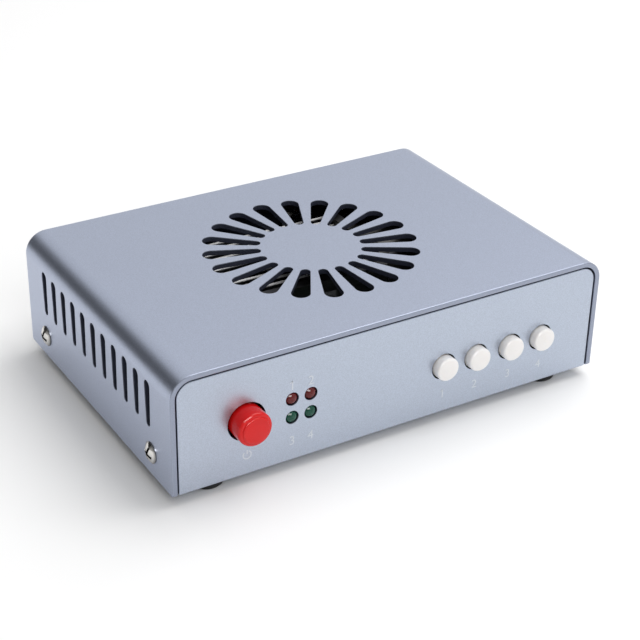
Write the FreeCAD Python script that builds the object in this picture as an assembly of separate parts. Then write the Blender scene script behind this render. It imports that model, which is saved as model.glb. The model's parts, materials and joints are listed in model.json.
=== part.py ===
import FreeCAD, Part
import math
import os

# Control unit of a bench reflow oven: a folded sheet case with a round grille, push buttons, lamps,
# boards, a finned heat sink with its fan, a transformer and the sockets on the rear.
# Millimetres. X runs to the right, Y to the rear, Z up. The origin is on the table, under the middle.

V = FreeCAD.Vector
RIGHT = V(1, 0, 0)
LEFT = V(-1, 0, 0)
REAR = V(0, 1, 0)
FRONT = V(0, -1, 0)
UP = V(0, 0, 1)
DOWN = V(0, 0, -1)
PAST = 1.0                      # how far a cutting tool runs past the face it opens

# Case
cover_width = 180.0
cover_depth = 124.0
cover_height = 46.0
cover_wall = 2.0
cover_bend = 8.3                # outer radius of the two long bends
cover_corner = 1.0              # rounding of the side walls' lower corners
cover_edge = 0.4                # broken edges of the cover's rims
panel_edge = 0.4                # broken outer edges of the front and rear panels
chassis_wall = 2.0
chassis_bend = 0.5              # inner radius of the chassis folds
panel_fold = 0.6                # outer radius below the panels, whose folds are grooved first
panel_gap = 0.6                 # open line between the panels and the cover
panel_recess = 0.3              # panels sit this far inside the cover's rims
flange_height = 16.0            # upright side flanges that take the cover screws
flange_length = 104.0
fold_relief = 1.5               # slot at each end of a flange, so that the fold doesn't tear

# Grille in the roof: teardrop slots round a solid disc
grille_slots = 20
grille_outer = 41.4             # radius over the slots' wide ends
grille_inner = 19.1             # radius of the solid disc
grille_wide = 3.55              # end radius of a slot, outside
grille_narrow = 1.9             # end radius of a slot, inside

# Vents in the side walls: teardrop slots, wide end up
vent_count = 11
vent_pitch = 8.9
vent_low = 19.2                 # above the cover's lower edge
vent_high = 37.3
vent_wide = 2.1
vent_narrow = 1.5

# Screws
screw_fit = 0.05                # radial room of a shank in its tapped hole
screw_room = 0.25               # radial room of a shank in a clearance hole
m4_shank = 1.95
m4_head = 4.0
m4_head_height = 1.8
m4_head_rim = 0.35              # straight part of the head below its dome
m4_length = 8.0
screw_past = 1.0                # screw tips beyond the last piece they hold
m3_shank = 1.45
m3_head = 2.75
m3_head_height = 2.0
floor_screw_bite = 4.0          # of the screws through the floor
cover_screw_spread = 46.0       # from the middle, front and rear
cover_screw_height = 9.3        # above the cover's lower edge
recess_width = 1.1              # arms of the cross recess in the cover screws
recess_mouth = 3.5              # reach of the arms at the level of the head's top
recess_tip = 1.2                # and at the bottom of the recess
recess_depth = 1.5
recess_turn = -16.0

# Feet
foot_height = 4.5
foot_radius = 6.7
foot_tread = 5.75
foot_edge = 0.5
foot_pocket = 3.3
foot_pocket_depth = 2.4
foot_x = 72.5
foot_y = 52.0

# Front panel, heights above the cover's lower edge
power_x = -61.35
power_height = 21.6
power_room = 0.95               # radial room of the cap in the panel
power_radius = 6.5
power_step_radius = 5.85
power_step = 1.5
power_face_radius = 4.3         # flat middle of the face, inside its sloping ring
power_face_rise = 0.35
power_reach = 7.1               # how far the cap stands out of the panel
power_length = 14.1
power_edge = 0.6
power_stem = 5.0
power_socket = 8.0
power_travel = 3.5
lamp_x = (-43.6, -36.15)
lamp_heights = (17.6, 25.0)
lamp_radius = 2.5
lamp_flange = 2.9
lamp_flange_thick = 1.0
lamp_proud = 0.7                # how far a lamp stands out of the panel
lamp_room = 0.1
key_height = 19.4
key_first_x = 19.95
key_pitch = 14.3
key_pair_gap = 15.3             # between the second and the third key
key_radius = 4.6
key_round = 0.9
key_crown = 0.2
key_reach = 3.5
key_room = 0.62
key_travel = 0.4

# Push switches behind the keys
tact_side = 12.0
tact_corner = 0.8
tact_height = 3.5
tact_pocket = 3.45
tact_pocket_depth = 2.4
tact_collar = 3.3
tact_collar_top = 4.3
tact_collar_bottom = 2.1
tact_stem = 3.8
tact_top = 7.3
stem_fit = 0.05

# Boards
board_thick = 1.6
board_corner = 1.5
standoff_length = 6.0
standoff_flats = 5.5
standoff_bore = 5.0
front_board_x = (-50.0, 73.0)
front_board_heights = (7.0, 37.0)
front_board_inset = 3.5
main_board_x = (-46.0, 48.0)
main_board_front = -48.0
board_sink_gap = 1.1
main_board_inset = 4.0

# Mains switch and its bracket
bracket_wall = 1.5
bracket_bend = 1.0              # inner radius of the fold
bracket_half = 9.0
bracket_y = -46.0               # front of the upright
bracket_foot = 18.0
bracket_top = 38.0              # above the cover's lower edge
bracket_screw_spread = 5.0
bracket_screw_y = -33.0
switch_ear = 1.2
switch_ear_past = 3.5           # ears beyond their screws
switch_corner = 1.0
switch_room = 0.3               # round the plunger
switch_rest = 2.0               # plunger left in the switch when it is out
switch_half_x = 6.5
switch_half_z = 8.5
switch_length = 20.0
switch_screw_spread = 12.0
switch_hole = 4.5
switch_blade_x = 4.0
switch_blade_z = 5.0
switch_blade = (0.8, 5.5, 4.0)

# Heat sink, fins along X
sink_x = (-46.0, 24.5)
sink_middle = 9.0
sink_fins = 12
sink_pitch = 4.0
sink_fin_root = 1.6
sink_fin_tip = 1.2
sink_base = 7.0
sink_height = 37.6              # from the floor to the fin tips
sink_wall = 2.5                 # extra thickness of the front wall that carries the triacs
sink_screw_x = (-38.0, 16.0)
sink_screw_y = 16.0

# Triacs
triac_x = (-25.0, -5.0)
triac_width = 10.0
triac_body = 9.2
triac_tab = 6.1
triac_thick = 4.5
triac_tab_thick = 1.3
triac_stand = 8.0               # plastic body above the board
triac_lead = 0.8
triac_lead_pitch = 2.54
triac_lead_out = 2.6            # leads in front of the tab's back
triac_hole = 1.7
triac_chamfer = 0.6
triac_lead_past = 1.5           # leads below the board
pad_thick = 0.2
pad_margin = 1.5

# Fan
fan_side = 40.0
fan_depth = 20.0
fan_corner = 2.5
fan_bore = 19.0
fan_flange = 4.0
fan_barrel_wall = 0.8
fan_hole_spread = 16.0
fan_hole = 1.75
fan_screw_shank = 1.2
fan_screw_bite = 7.0
fan_hub = 11.5
fan_hub_wall = 1.5
fan_hub_start = 1.5
fan_hub_length = 13.0
fan_hub_chamfer = 1.0
fan_hub_dish = 0.3
fan_tip_gap = 0.6
fan_blades = 7
fan_blade_thick = 0.9
fan_blade_camber = 1.1
fan_root_pitch = 48.0
fan_tip_pitch = 30.0
fan_root_chord = 11.5
fan_tip_chord = 13.0
fan_struts = 3
fan_strut_width = 3.0
fan_strut_turn = 30.0
fan_motor_disc = 3.5
fan_shaft = 1.5
fan_shaft_fit = 0.04
fan_boss = 3.4
fan_boss_length = 11.0
fan_stator = 8.5
fan_stator_length = 9.0
fan_stator_fit = 0.05

# Transformer, core upright across X
core_x = 67.0
core_y = 15.0
core_width = 35.0
core_height = 29.0
core_stack = 14.0
core_leg = 5.8
core_middle_leg = 11.7
core_fit = 0.12
winding_out = 5.5
winding_round = 3.0
strap_wall = 1.0
strap_ear = 8.4
strap_inset = 1.0               # from the core's faces
strap_screw_out = 5.5           # from the core's side

# Parts on the main board
block_size = (10.0, 10.0, 10.0)
block_y = -35.0
block_pole = 2.5
block_inset = 0.5               # from the board's end
block_entry = 6.0               # wire entry above the board
block_bore = 1.8
block_bore_depth = 3.0
block_head = 1.7
block_head_in = 5.5             # clamp screws behind the wire entries
block_head_depth = 1.5
chip_size = (35.6, 7.0, 3.4)
chip_centre = (3.8, -32.0)
chip_stand = 1.0
chip_pins = 14
pin_pitch = 2.54
pin_size = 0.5
pin_root = 0.2                  # inside the chip's body
chip_notch = 1.1
opto_size = (8.8, 6.4, 3.5)
opto_y = -23.9
opto_pins = 3
capacitors = ((30.0, -26.0, 5.0, 17.0), (30.0, -41.0, 4.0, 12.0), (-29.0, -41.0, 4.0, 12.0))
rectifier_size = (14.5, 3.6, 10.5)
rectifier_centre = (-24.0, -33.5)
rectifier_notch = 2.5
fuse_x = (-21.0, -1.0)
fuse_y = -44.5
fuse_radius = 2.5
fuse_cap = 5.5
fuse_height = 4.0
clip_wall = 0.6
clip_fit = 0.05
clip_inset = 0.3                # from the ends of the fuse's caps
clip_mouth = 0.8                # share of the bore that is open above
ribbon_x = (3.0, 19.0)
ribbon_thick = 1.0
ribbon_height = 28.0
ribbon_inset = 3.4              # from the main board's front edge
ribbon_bend = 3.5

# Rear panel, heights above the cover's lower edge
rear_height = 22.0
inlet_x = -61.35
inlet_flange = (25.0, 11.5, 3.0)
inlet_flange_round = 4.0
inlet_body = (13.5, 9.8)
inlet_body_length = 20.0
inlet_cavity = (12.4, 8.5)
inlet_cavity_depth = 15.0
inlet_chamfer = 4.5
inlet_fit = 0.2
inlet_pin = (2.0, 4.0)
inlet_pin_x = 7.0
inlet_pin_low = -2.0
inlet_pin_high = 2.5
inlet_pin_recess = 2.7
inlet_pin_fit = 0.05
inlet_pin_chamfer = 0.6
inlet_tab = (0.8, 6.3, 8.0)
inlet_screw_spread = 20.0
socket_last_x = 75.0
socket_count = 3
socket_gap = 2.06               # between the corners of two nuts
socket_reach = 7.1
socket_rim = 1.5                # flange and nut beyond the thread
socket_flange_thick = 1.5
socket_radius = 8.0
socket_wall = 1.3
socket_tail = 9.0
socket_fit = 0.1
socket_nut_thick = 3.0
socket_edge = 0.5
insert_front = 1.0              # behind the panel's face
insert_length = 10.0
socket_pins = 4
socket_pin_radius = 0.75
socket_pin_circle = 3.5
socket_pin_tip = 2.8
socket_pin_length = 17.0
socket_pin_round = 0.4

# Wires
mains_wire = 1.2
output_wire = 1.5
wire_bend = 4.0
wire_run = 9.0                  # straight end of a mains wire
lane_bend = 2.6
mains_lanes = ((1, 9.0, 6.6, -1), (-1, 13.0, 3.5, 1))
output_bend = 2.4
output_lane = 6.5               # from the fan's face
output_rise = 6.0
output_runs = (18.0, 8.0, 15.0)
earth_stud_y = 22.0
earth_tongue = 2.0
earth_ring = 4.0
earth_ring_thick = 1.2
earth_bend = 5.0

# Levels and faces that follow from the sizes above
base = foot_height
floor = base + chassis_wall
roof_inside = base + cover_height - cover_wall
inside_half = cover_width / 2 - cover_wall
panel_half = inside_half - panel_gap
front_face = -cover_depth / 2 + panel_recess
front_inside = front_face + chassis_wall
rear_face = -front_face
rear_inside = -front_inside
board_front = front_inside + standoff_length
board_back = board_front + board_thick
main_low = floor + standoff_length
main_top = main_low + board_thick
power_z = base + power_height
key_z = base + key_height
rear_z = base + rear_height
socket_flange = socket_radius + socket_rim
socket_bore = socket_radius - socket_wall
socket_pitch = 4 * socket_flange / math.sqrt(3) + socket_gap
socket_x = [socket_last_x - k * socket_pitch for k in reversed(range(socket_count))]
bracket_back = bracket_y + bracket_wall
switch_back = bracket_back + switch_length
fin_middles = [sink_middle + (k - (sink_fins - 1) / 2) * sink_pitch for k in range(sink_fins)]
sink_front = fin_middles[0] - sink_fin_root / 2 - sink_wall
sink_rear = fin_middles[-1] + sink_fin_root / 2
pad_front = sink_front - pad_thick
main_board_y = (main_board_front, sink_front - board_sink_gap)
triac_low = main_top + triac_stand
triac_hole_z = triac_low + triac_body + triac_tab / 2
fan_z = floor + fan_side / 2
fan_face = sink_x[1] + fan_depth
key_x = [key_first_x, key_first_x + key_pitch]
key_x += [x + key_pitch + key_pair_gap for x in key_x]
lamp_length = board_front - front_face + lamp_proud
front_screws = [(x, base + z)
                for x in (front_board_x[0] + front_board_inset, front_board_x[1] - front_board_inset)
                for z in (front_board_heights[0] + front_board_inset,
                          front_board_heights[1] - front_board_inset)]
main_screws = [(x, y)
               for x in (main_board_x[0] + main_board_inset, main_board_x[1] - main_board_inset)
               for y in (main_board_y[0] + main_board_inset, main_board_y[1] - main_board_inset)]
foot_places = [(x, y) for x in (-foot_x, foot_x) for y in (-foot_y, foot_y)]
strap_screw = core_width / 2 + strap_screw_out
floor_screws = [(x, sink_middle + s * sink_screw_y) for x in sink_screw_x for s in (-1, 1)]
floor_screws += [(power_x + s * bracket_screw_spread, bracket_screw_y) for s in (-1, 1)]
floor_screws += [(core_x, core_y + s * strap_screw) for s in (-1, 1)]


# Drawing planes: each turns a pair of plane coordinates into a point.
def plan(u, v):
    return V(u, v, 0)


def elevation(u, v):
    return V(u, 0, v)


def side(u, v):
    return V(0, u, v)


def outline(plane, start, *steps):
    """Closed face. A step is an end point, or a pair: a point on an arc and the arc's end point."""
    first = plane(*start)
    here = first
    edges = []
    for step in steps:
        if isinstance(step[0], tuple):
            there = plane(*step[1])
            edges.append(Part.Arc(here, plane(*step[0]), there).toShape())
        else:
            there = plane(*step)
            edges.append(Part.LineSegment(here, there).toShape())
        here = there
    if here.distanceToPoint(first) > 1e-6:
        edges.append(Part.LineSegment(here, first).toShape())
    return Part.Face(Part.Wire(edges))


def rounded(plane, half_u, half_v, radius):
    """Rectangle with rounded corners, about the plane's origin."""
    lean = radius * (1 - math.sqrt(0.5))
    return outline(plane, (half_u, radius - half_v), (half_u, half_v - radius),
                   ((half_u - lean, half_v - lean), (half_u - radius, half_v)),
                   (radius - half_u, half_v),
                   ((lean - half_u, half_v - lean), (-half_u, half_v - radius)),
                   (-half_u, radius - half_v),
                   ((lean - half_u, lean - half_v), (radius - half_u, -half_v)),
                   (half_u - radius, -half_v),
                   ((half_u - lean, lean - half_v), (half_u, radius - half_v)))


def teardrop(plane, first, first_radius, last, last_radius):
    """Slot along the plane's second axis between two round ends, given over the ends."""
    low = first + first_radius
    high = last - last_radius
    sine = (last_radius - first_radius) / (high - low)
    cosine = math.sqrt(1 - sine ** 2)
    low_u, low_v = first_radius * cosine, low - first_radius * sine
    high_u, high_v = last_radius * cosine, high - last_radius * sine
    return outline(plane, (low_u, low_v), (high_u, high_v), ((0, last), (-high_u, high_v)),
                   (-low_u, low_v), ((0, first), (low_u, low_v)))


def box(x, y, z):
    """Block between a low and a high limit along each axis."""
    return Part.makeBox(x[1] - x[0], y[1] - y[0], z[1] - z[0], V(x[0], y[0], z[0]))


def about(middle, half):
    """Low and high limits about a middle."""
    return (middle - half, middle + half)


def rod(start, direction, radius, length):
    return Part.makeCylinder(radius, length, start, direction)


def turned(*profile):
    """Solid of revolution about Z; the profile is (radius, height)."""
    return outline(elevation, *profile).revolve(V(0, 0, 0), UP, 360)


def hexagon(flats, height):
    corner = flats / math.sqrt(3)
    turns = [math.radians(60 * k) for k in range(7)]
    ring = Part.makePolygon([V(corner * math.cos(a), corner * math.sin(a), 0) for a in turns])
    return Part.Face(ring).extrude(V(0, 0, height))


def put(shape, place, axis=UP):
    """Copy of a shape drawn on Z, moved to a place and turned to an axis."""
    moved = shape.copy()
    moved.Placement = FreeCAD.Placement(place, FreeCAD.Rotation(UP, axis)).multiply(shape.Placement)
    return moved


def edges_where(shape, test):
    """Edges whose middle point passes a test."""
    return [edge for edge in shape.Edges if test(edge.CenterOfMass)]


def near(a, b):
    return abs(a - b) < 1e-3


def dome(radius, low, high):
    """Step of a profile: a round cap from a rim at a radius up to the axis."""
    rise = high - low
    ball = (radius ** 2 + rise ** 2) / (2 * rise)
    half = math.asin(radius / ball) / 2
    return ((ball * math.sin(half), high - ball + ball * math.cos(half)), (0, high))


def small_screw(shank, length):
    """Small screw: seat at zero, low conical head above, shank below."""
    middle = m3_head_height / 2
    return turned((0, -length), (shank, -length), (shank, 0), (m3_head, 0), (m3_head, middle),
                  (m3_head * 0.7, m3_head_height), (0, m3_head_height))


def m3_screw(length):
    return small_screw(m3_shank, length)


def wire(points, radius, bend):
    """Round wire along straight runs joined by tangent arcs."""
    corners = [V(*point) for point in points]
    edges = []
    here = corners[0]
    for before, corner, after in zip(corners, corners[1:], corners[2:]):
        back = (before - corner).normalize()
        ahead = (after - corner).normalize()
        half_angle = back.getAngle(ahead) / 2
        reach = bend / math.tan(half_angle)
        inward = (back + ahead).normalize()
        middle = corner + inward * (bend / math.sin(half_angle) - bend)
        start = corner + back * reach
        end = corner + ahead * reach
        edges.append(Part.LineSegment(here, start).toShape())
        edges.append(Part.Arc(start, middle, end).toShape())
        here = end
    edges.append(Part.LineSegment(here, corners[-1]).toShape())
    ring = Part.Wire(Part.Circle(corners[0], corners[1] - corners[0], radius).toShape())
    return Part.Wire(edges).makePipeShell([ring], True, False)


def save(name, *solids):
    shape = solids[0] if len(solids) == 1 else Part.makeCompound(list(solids))
    shape.exportStep(os.path.join("parts", name + ".step"))


# Case
def arch(half, height, bend, depth):
    """Prism along Y under a flat roof with two round shoulders, standing at the base level."""
    lean = bend * (1 - math.sqrt(0.5))
    face = outline(elevation, (-half, 0), (-half, height - bend),
                   ((lean - half, height - lean), (bend - half, height)), (half - bend, height),
                   ((half - lean, height - lean), (half, height - bend)), (half, 0))
    return face.extrude(V(0, depth, 0)).translated(V(0, -depth / 2, base))


def grille_cuts():
    slot = teardrop(plan, grille_inner, grille_narrow, grille_outer, grille_wide)
    tool = slot.extrude(V(0, 0, cover_wall + 2 * PAST)).translated(V(0, 0, roof_inside - PAST))
    step = 360.0 / grille_slots
    return [tool.rotated(V(0, 0, 0), UP, k * step) for k in range(grille_slots)]


def vent_cuts():
    slot = teardrop(side, base + vent_low, vent_narrow, base + vent_high, vent_wide)
    tool = slot.extrude(V(cover_width + 2 * PAST, 0, 0)).translated(V(-cover_width / 2 - PAST, 0, 0))
    first = -vent_pitch * (vent_count - 1) / 2
    return [tool.translated(V(0, first + k * vent_pitch, 0)) for k in range(vent_count)]


def cover_screw_places():
    return [(x, y, base + cover_screw_height)
            for x in (-1, 1) for y in (-cover_screw_spread, cover_screw_spread)]


def top_cover():
    inside = arch(inside_half, cover_height - cover_wall, cover_bend - cover_wall,
                  cover_depth + 2 * PAST)
    shell = arch(cover_width / 2, cover_height, cover_bend, cover_depth).cut(inside)
    shell = shell.makeFillet(cover_corner, edges_where(
        shell, lambda m: near(abs(m.y), cover_depth / 2) and near(m.z, base)))
    shell = shell.makeFillet(cover_edge, edges_where(
        shell, lambda m: near(abs(m.y), cover_depth / 2)
        and (near(m.z, base + cover_height) or near(m.z, roof_inside))))
    through = cover_wall + 2 * PAST
    holes = [rod(V(x * (inside_half - PAST), y, z), V(x, 0, 0), m4_shank + screw_room, through)
             for x, y, z in cover_screw_places()]
    return shell.cut(grille_cuts() + vent_cuts() + holes)


def cover_screws():
    """Round-headed screws with a cross recess that narrows downwards."""
    bottom = m4_head_height - recess_depth
    screw = turned((0, -m4_length), (m4_shank, -m4_length), (m4_shank, 0), (m4_head, 0),
                   (m4_head, m4_head_rim), dome(m4_head, m4_head_rim, m4_head_height))
    bar = box(about(0, recess_mouth), about(0, recess_width / 2), (bottom, m4_head_height))
    cross = bar.fuse(bar.rotated(V(0, 0, 0), UP, 90))
    taper = Part.makeCone(recess_tip, recess_mouth, recess_depth, V(0, 0, bottom))
    screw = screw.cut(cross.common(taper)).rotated(V(0, 0, 0), UP, recess_turn)
    return [put(screw, V(x * cover_width / 2, y, z), V(x, 0, 0)) for x, y, z in cover_screw_places()]


def chassis_holes():
    """Everything that is cut out of the panels, the floor and the side flanges."""
    through = chassis_wall + 2 * PAST
    front = front_face - PAST
    tools = [rod(V(power_x, front, power_z), REAR, power_radius + power_room, through)]
    tools += [rod(V(x, front, base + z), REAR, lamp_radius + lamp_room, through)
              for x in lamp_x for z in lamp_heights]
    tools += [rod(V(x, front, key_z), REAR, key_radius + key_room, through) for x in key_x]
    inlet = inlet_outline(inlet_body[0] + inlet_fit, inlet_body[1] + inlet_fit)
    tools.append(inlet.extrude(V(0, through, 0)).translated(V(0, rear_inside - PAST, 0)))
    tools += [rod(V(inlet_x + s * inlet_screw_spread, rear_inside - PAST, rear_z), REAR,
                  m3_shank + screw_fit, through) for s in (-1, 1)]
    tools += [rod(V(x, rear_inside - PAST, rear_z), REAR, socket_radius, through) for x in socket_x]
    tools += [rod(V(x, y, base - PAST), UP, m3_shank + screw_fit, through) for x, y in foot_places]
    tools += [rod(V(x, y, base - PAST), UP, m3_shank + screw_room, through) for x, y in floor_screws]
    tools.append(rod(V(inlet_x, earth_stud_y, base - PAST), UP, m3_shank + screw_fit, through))
    tools += [rod(V(x * (panel_half + PAST), y, z), V(-x, 0, 0), m4_shank + screw_fit, through)
              for x, y, z in cover_screw_places()]
    return tools


def base_chassis():
    depth = rear_face - front_face
    clearance = cover_wall + panel_gap
    block = arch(panel_half, cover_height - clearance, cover_bend - clearance, depth)
    block = block.makeFillet(panel_fold, edges_where(
        block, lambda m: near(abs(m.y), depth / 2) and near(m.z, base)))
    hollow = box(about(0, panel_half + PAST), (front_inside, rear_inside), (floor, base + cover_height))
    hollow = hollow.makeFillet(chassis_bend, edges_where(
        hollow, lambda m: near(abs(m.y), rear_inside) and near(m.z, floor)))
    tray = block.cut(hollow)
    tray = tray.makeFillet(panel_edge, edges_where(
        tray, lambda m: near(abs(m.y), depth / 2) and near(m.z, base + cover_height - clearance)))
    outer = chassis_bend + chassis_wall
    for sign in (-1, 1):
        strip = sorted(sign * x for x in (panel_half - outer, panel_half + PAST))
        slot = about(0, flange_length / 2 + fold_relief)
        tray = tray.cut(box(strip, slot, (base - PAST, floor + PAST)))
        tray = tray.fuse(side_flange(sign, outer))
    return tray.removeSplitter().cut(chassis_holes())


def side_flange(sign, outer):
    """Upright strip folded from the floor's side edge, with the fold's two radii."""
    low, high = base, base + flange_height
    wall, inner = sign * panel_half, sign * (panel_half - chassis_wall)
    root = sign * (panel_half - outer)
    lean = outer * math.sqrt(0.5)
    crease = chassis_bend * math.sqrt(0.5)
    face = outline(elevation, (root, low),
                   ((root + sign * lean, low + outer - lean), (wall, low + outer)), (wall, high),
                   (inner, high), (inner, low + outer),
                   ((root + sign * crease, low + outer - crease), (root, low + chassis_wall)))
    return face.extrude(V(0, flange_length, 0)).translated(V(0, -flange_length / 2, 0))


def rubber_feet():
    hole = m3_shank + screw_room
    foot = turned((hole, foot_pocket_depth), (hole, foot_height), (foot_radius, foot_height),
                  (foot_tread + foot_edge, foot_edge), (foot_tread, 0), (foot_pocket, 0),
                  (foot_pocket, foot_pocket_depth))
    return [put(foot, V(x, y, 0)) for x, y in foot_places]


def foot_screws():
    screw = m3_screw(foot_height - foot_pocket_depth + chassis_wall + screw_past)
    return [put(screw, V(x, y, foot_pocket_depth), DOWN) for x, y in foot_places]


def bottom_screws():
    """Screws through the floor into the heat sink, the switch bracket and the transformer strap."""
    screw = m3_screw(chassis_wall + floor_screw_bite)
    return [put(screw, V(x, y, base), DOWN) for x, y in floor_screws]


# Boards
def board_standoffs():
    post = hexagon(standoff_flats, standoff_length)
    bottom = V(0, 0, standoff_length - standoff_bore)
    post = post.cut(rod(bottom, UP, m3_shank + screw_fit, standoff_length))
    posts = [put(post, V(x, front_inside, z), REAR) for x, z in front_screws]
    return posts + [put(post, V(x, y, floor)) for x, y in main_screws]


def board_screws():
    screw = m3_screw(board_thick + standoff_bore - screw_past)
    screws = [put(screw, V(x, board_back, z), REAR) for x, z in front_screws]
    return screws + [put(screw, V(x, y, main_top)) for x, y in main_screws]


def front_board():
    half_x = (front_board_x[1] - front_board_x[0]) / 2
    half_z = (front_board_heights[1] - front_board_heights[0]) / 2
    middle = V(front_board_x[0] + half_x, board_front, base + front_board_heights[0] + half_z)
    plate = rounded(elevation, half_x, half_z, board_corner).extrude(V(0, board_thick, 0))
    holes = [rod(V(x, board_front - PAST, z), REAR, m3_shank + screw_room, board_thick + 2 * PAST)
             for x, z in front_screws]
    return plate.translated(middle).cut(holes)


def main_board():
    half_x = (main_board_x[1] - main_board_x[0]) / 2
    half_y = (main_board_y[1] - main_board_y[0]) / 2
    middle = V(main_board_x[0] + half_x, main_board_y[0] + half_y, main_low)
    plate = rounded(plan, half_x, half_y, board_corner).extrude(V(0, 0, board_thick)).translated(middle)
    holes = [rod(V(x, y, main_low - PAST), UP, m3_shank + screw_room, board_thick + 2 * PAST)
             for x, y in main_screws]
    holes += [rod(V(x, y, main_low - PAST), UP, triac_lead, board_thick + 2 * PAST)
              for x, y in triac_lead_places()]
    return plate.cut(holes)


def lamps(height):
    """The two lamps of one row, standing on the front board."""
    shoulder = lamp_length - lamp_radius
    slant = lamp_radius * math.sqrt(0.5)
    lamp = turned((0, 0), (lamp_flange, 0), (lamp_flange, lamp_flange_thick),
                  (lamp_radius, lamp_flange_thick), (lamp_radius, shoulder),
                  ((slant, shoulder + slant), (0, lamp_length)))
    return [put(lamp, V(x, board_front, base + height), FRONT) for x in lamp_x]


def key_switches():
    half = tact_side / 2
    body = rounded(plan, half, half, tact_corner).extrude(V(0, 0, tact_height))
    body = body.cut(rod(V(0, 0, tact_height - tact_pocket_depth), UP, tact_pocket, tact_height))
    return [put(body, V(x, board_front, key_z), FRONT) for x in key_x]


def key_plunger(x):
    collar = rod(V(0, 0, tact_collar_bottom), UP, tact_collar, tact_collar_top - tact_collar_bottom)
    stem = box(about(0, tact_stem / 2), about(0, tact_stem / 2), (tact_collar_bottom, tact_top))
    return put(collar.fuse(stem).removeSplitter(), V(x, board_front, key_z), FRONT)


def key_cap(x):
    """Round cap with a soft rim, a shallow crown and a square socket for the switch stem."""
    rear = tact_height + 2 * key_travel
    front = board_front - front_face + key_reach
    rim = front - key_crown
    lean = key_round * (1 - math.sqrt(0.5))
    cap = turned((0, rear), (key_radius, rear), (key_radius, rim - key_round),
                 ((key_radius - lean, rim - lean), (key_radius - key_round, rim)),
                 dome(key_radius - key_round, rim, front))
    half = tact_stem / 2 + stem_fit
    socket = box(about(0, half), about(0, half), (rear - PAST, tact_top))
    return put(cap.cut(socket), V(x, board_front, key_z), FRONT)


# Mains switch
def power_cap():
    """Long round cap with a stepped front rim and a square socket for the switch plunger."""
    shoulder = power_length - power_step
    edge = power_edge
    lean = edge * (1 - math.sqrt(0.5))
    ring = power_length - power_face_rise
    cap = turned((0, 0), (power_radius, 0), (power_radius, shoulder - edge),
                 ((power_radius - lean, shoulder - lean), (power_radius - edge, shoulder)),
                 (power_step_radius, shoulder), (power_step_radius, ring - edge),
                 ((power_step_radius - lean, ring - lean), (power_step_radius - edge, ring)),
                 (power_face_radius, power_length), (0, power_length))
    half = power_stem / 2 + stem_fit
    cap = cap.cut(box(about(0, half), about(0, half), (-PAST, power_socket)))
    return put(cap, V(power_x, power_rear(), power_z), FRONT)


def power_rear():
    """Rear end of the power cap."""
    return front_face - power_reach + power_length


def switch_pocket():
    """How far the plunger sits in the switch at rest."""
    return power_travel + switch_rest


def power_plunger():
    half = power_stem / 2
    return box(about(power_x, half), (power_rear() - power_socket, bracket_back + switch_pocket()),
               about(power_z, half))


def switch_bracket():
    inner = bracket_bend
    outer = inner + bracket_wall
    y, z = bracket_y, floor
    bend = outer * (1 - math.sqrt(0.5))
    crease = outer - inner * math.sqrt(0.5)
    upper, end = z + bracket_wall, y + bracket_foot
    face = outline(side, (y, base + bracket_top), (y, z + outer),
                   ((y + bend, z + bend), (y + outer, z)), (end, z), (end, upper), (y + outer, upper),
                   ((y + crease, z + crease), (y + bracket_wall, z + outer)),
                   (y + bracket_wall, base + bracket_top))
    plate = face.extrude(V(2 * bracket_half, 0, 0)).translated(V(power_x - bracket_half, 0, 0))
    through = bracket_wall + 2 * PAST
    holes = [rod(V(power_x, y - PAST, power_z), REAR, switch_hole, through)]
    holes += [rod(V(power_x, y - PAST, power_z + s * switch_screw_spread), REAR,
                  m3_shank + screw_room, through) for s in (-1, 1)]
    holes += [rod(V(power_x + s * bracket_screw_spread, bracket_screw_y, z - PAST), UP,
                  m3_shank + screw_fit, through) for s in (-1, 1)]
    return plate.cut(holes)


def switch_blades():
    """Limits of the four solder blades on the back of the mains switch."""
    wide, long, tall = switch_blade
    return [(about(power_x + i * switch_blade_x, wide / 2), (switch_back, switch_back + long),
             about(power_z + k * switch_blade_z, tall / 2)) for i in (-1, 1) for k in (-1, 1)]


def power_switch():
    ear = rounded(elevation, switch_half_x, switch_screw_spread + switch_ear_past, 2 * switch_corner)
    body = rounded(elevation, switch_half_x, switch_half_z, switch_corner)
    switch = ear.extrude(V(0, switch_ear, 0)).fuse(body.extrude(V(0, switch_length, 0)))
    switch = switch.translated(V(power_x, bracket_back, power_z))
    for x, y, z in switch_blades():
        switch = switch.fuse(box(x, y, z))
    half = power_stem / 2 + switch_room
    bottom = bracket_back + switch_pocket() + power_travel + switch_room
    pocket = box(about(power_x, half), (bracket_back - PAST, bottom), about(power_z, half))
    holes = [rod(V(power_x, bracket_back - PAST, power_z + s * switch_screw_spread), REAR,
                 m3_shank + screw_fit, switch_ear + 2 * PAST) for s in (-1, 1)]
    return switch.removeSplitter().cut([pocket] + holes)


def switch_screws():
    screw = m3_screw(bracket_wall + switch_ear + screw_past)
    return [put(screw, V(power_x, bracket_y, power_z + s * switch_screw_spread), FRONT) for s in (-1, 1)]


# Parts on the main board
def dual_in_line(size, pins, x, y):
    """Chip with a notched body and two rows of pins, standing on the main board."""
    long, wide, tall = size
    low = main_top + chip_stand
    body = box(about(x, long / 2), about(y, wide / 2), (low, low + tall))
    body = body.cut(rod(V(x - long / 2, y, low + tall * 0.7), UP, chip_notch, tall))
    first = x - pin_pitch * (pins - 1) / 2
    for k in range(pins):
        for edge in (-1, 1):
            reach = sorted(y + edge * (wide / 2 + out) for out in (-pin_root, pin_size))
            pin = about(first + k * pin_pitch, pin_size / 2)
            body = body.fuse(box(pin, reach, (main_top, low + tall / 2)))
    return body.removeSplitter()


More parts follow.
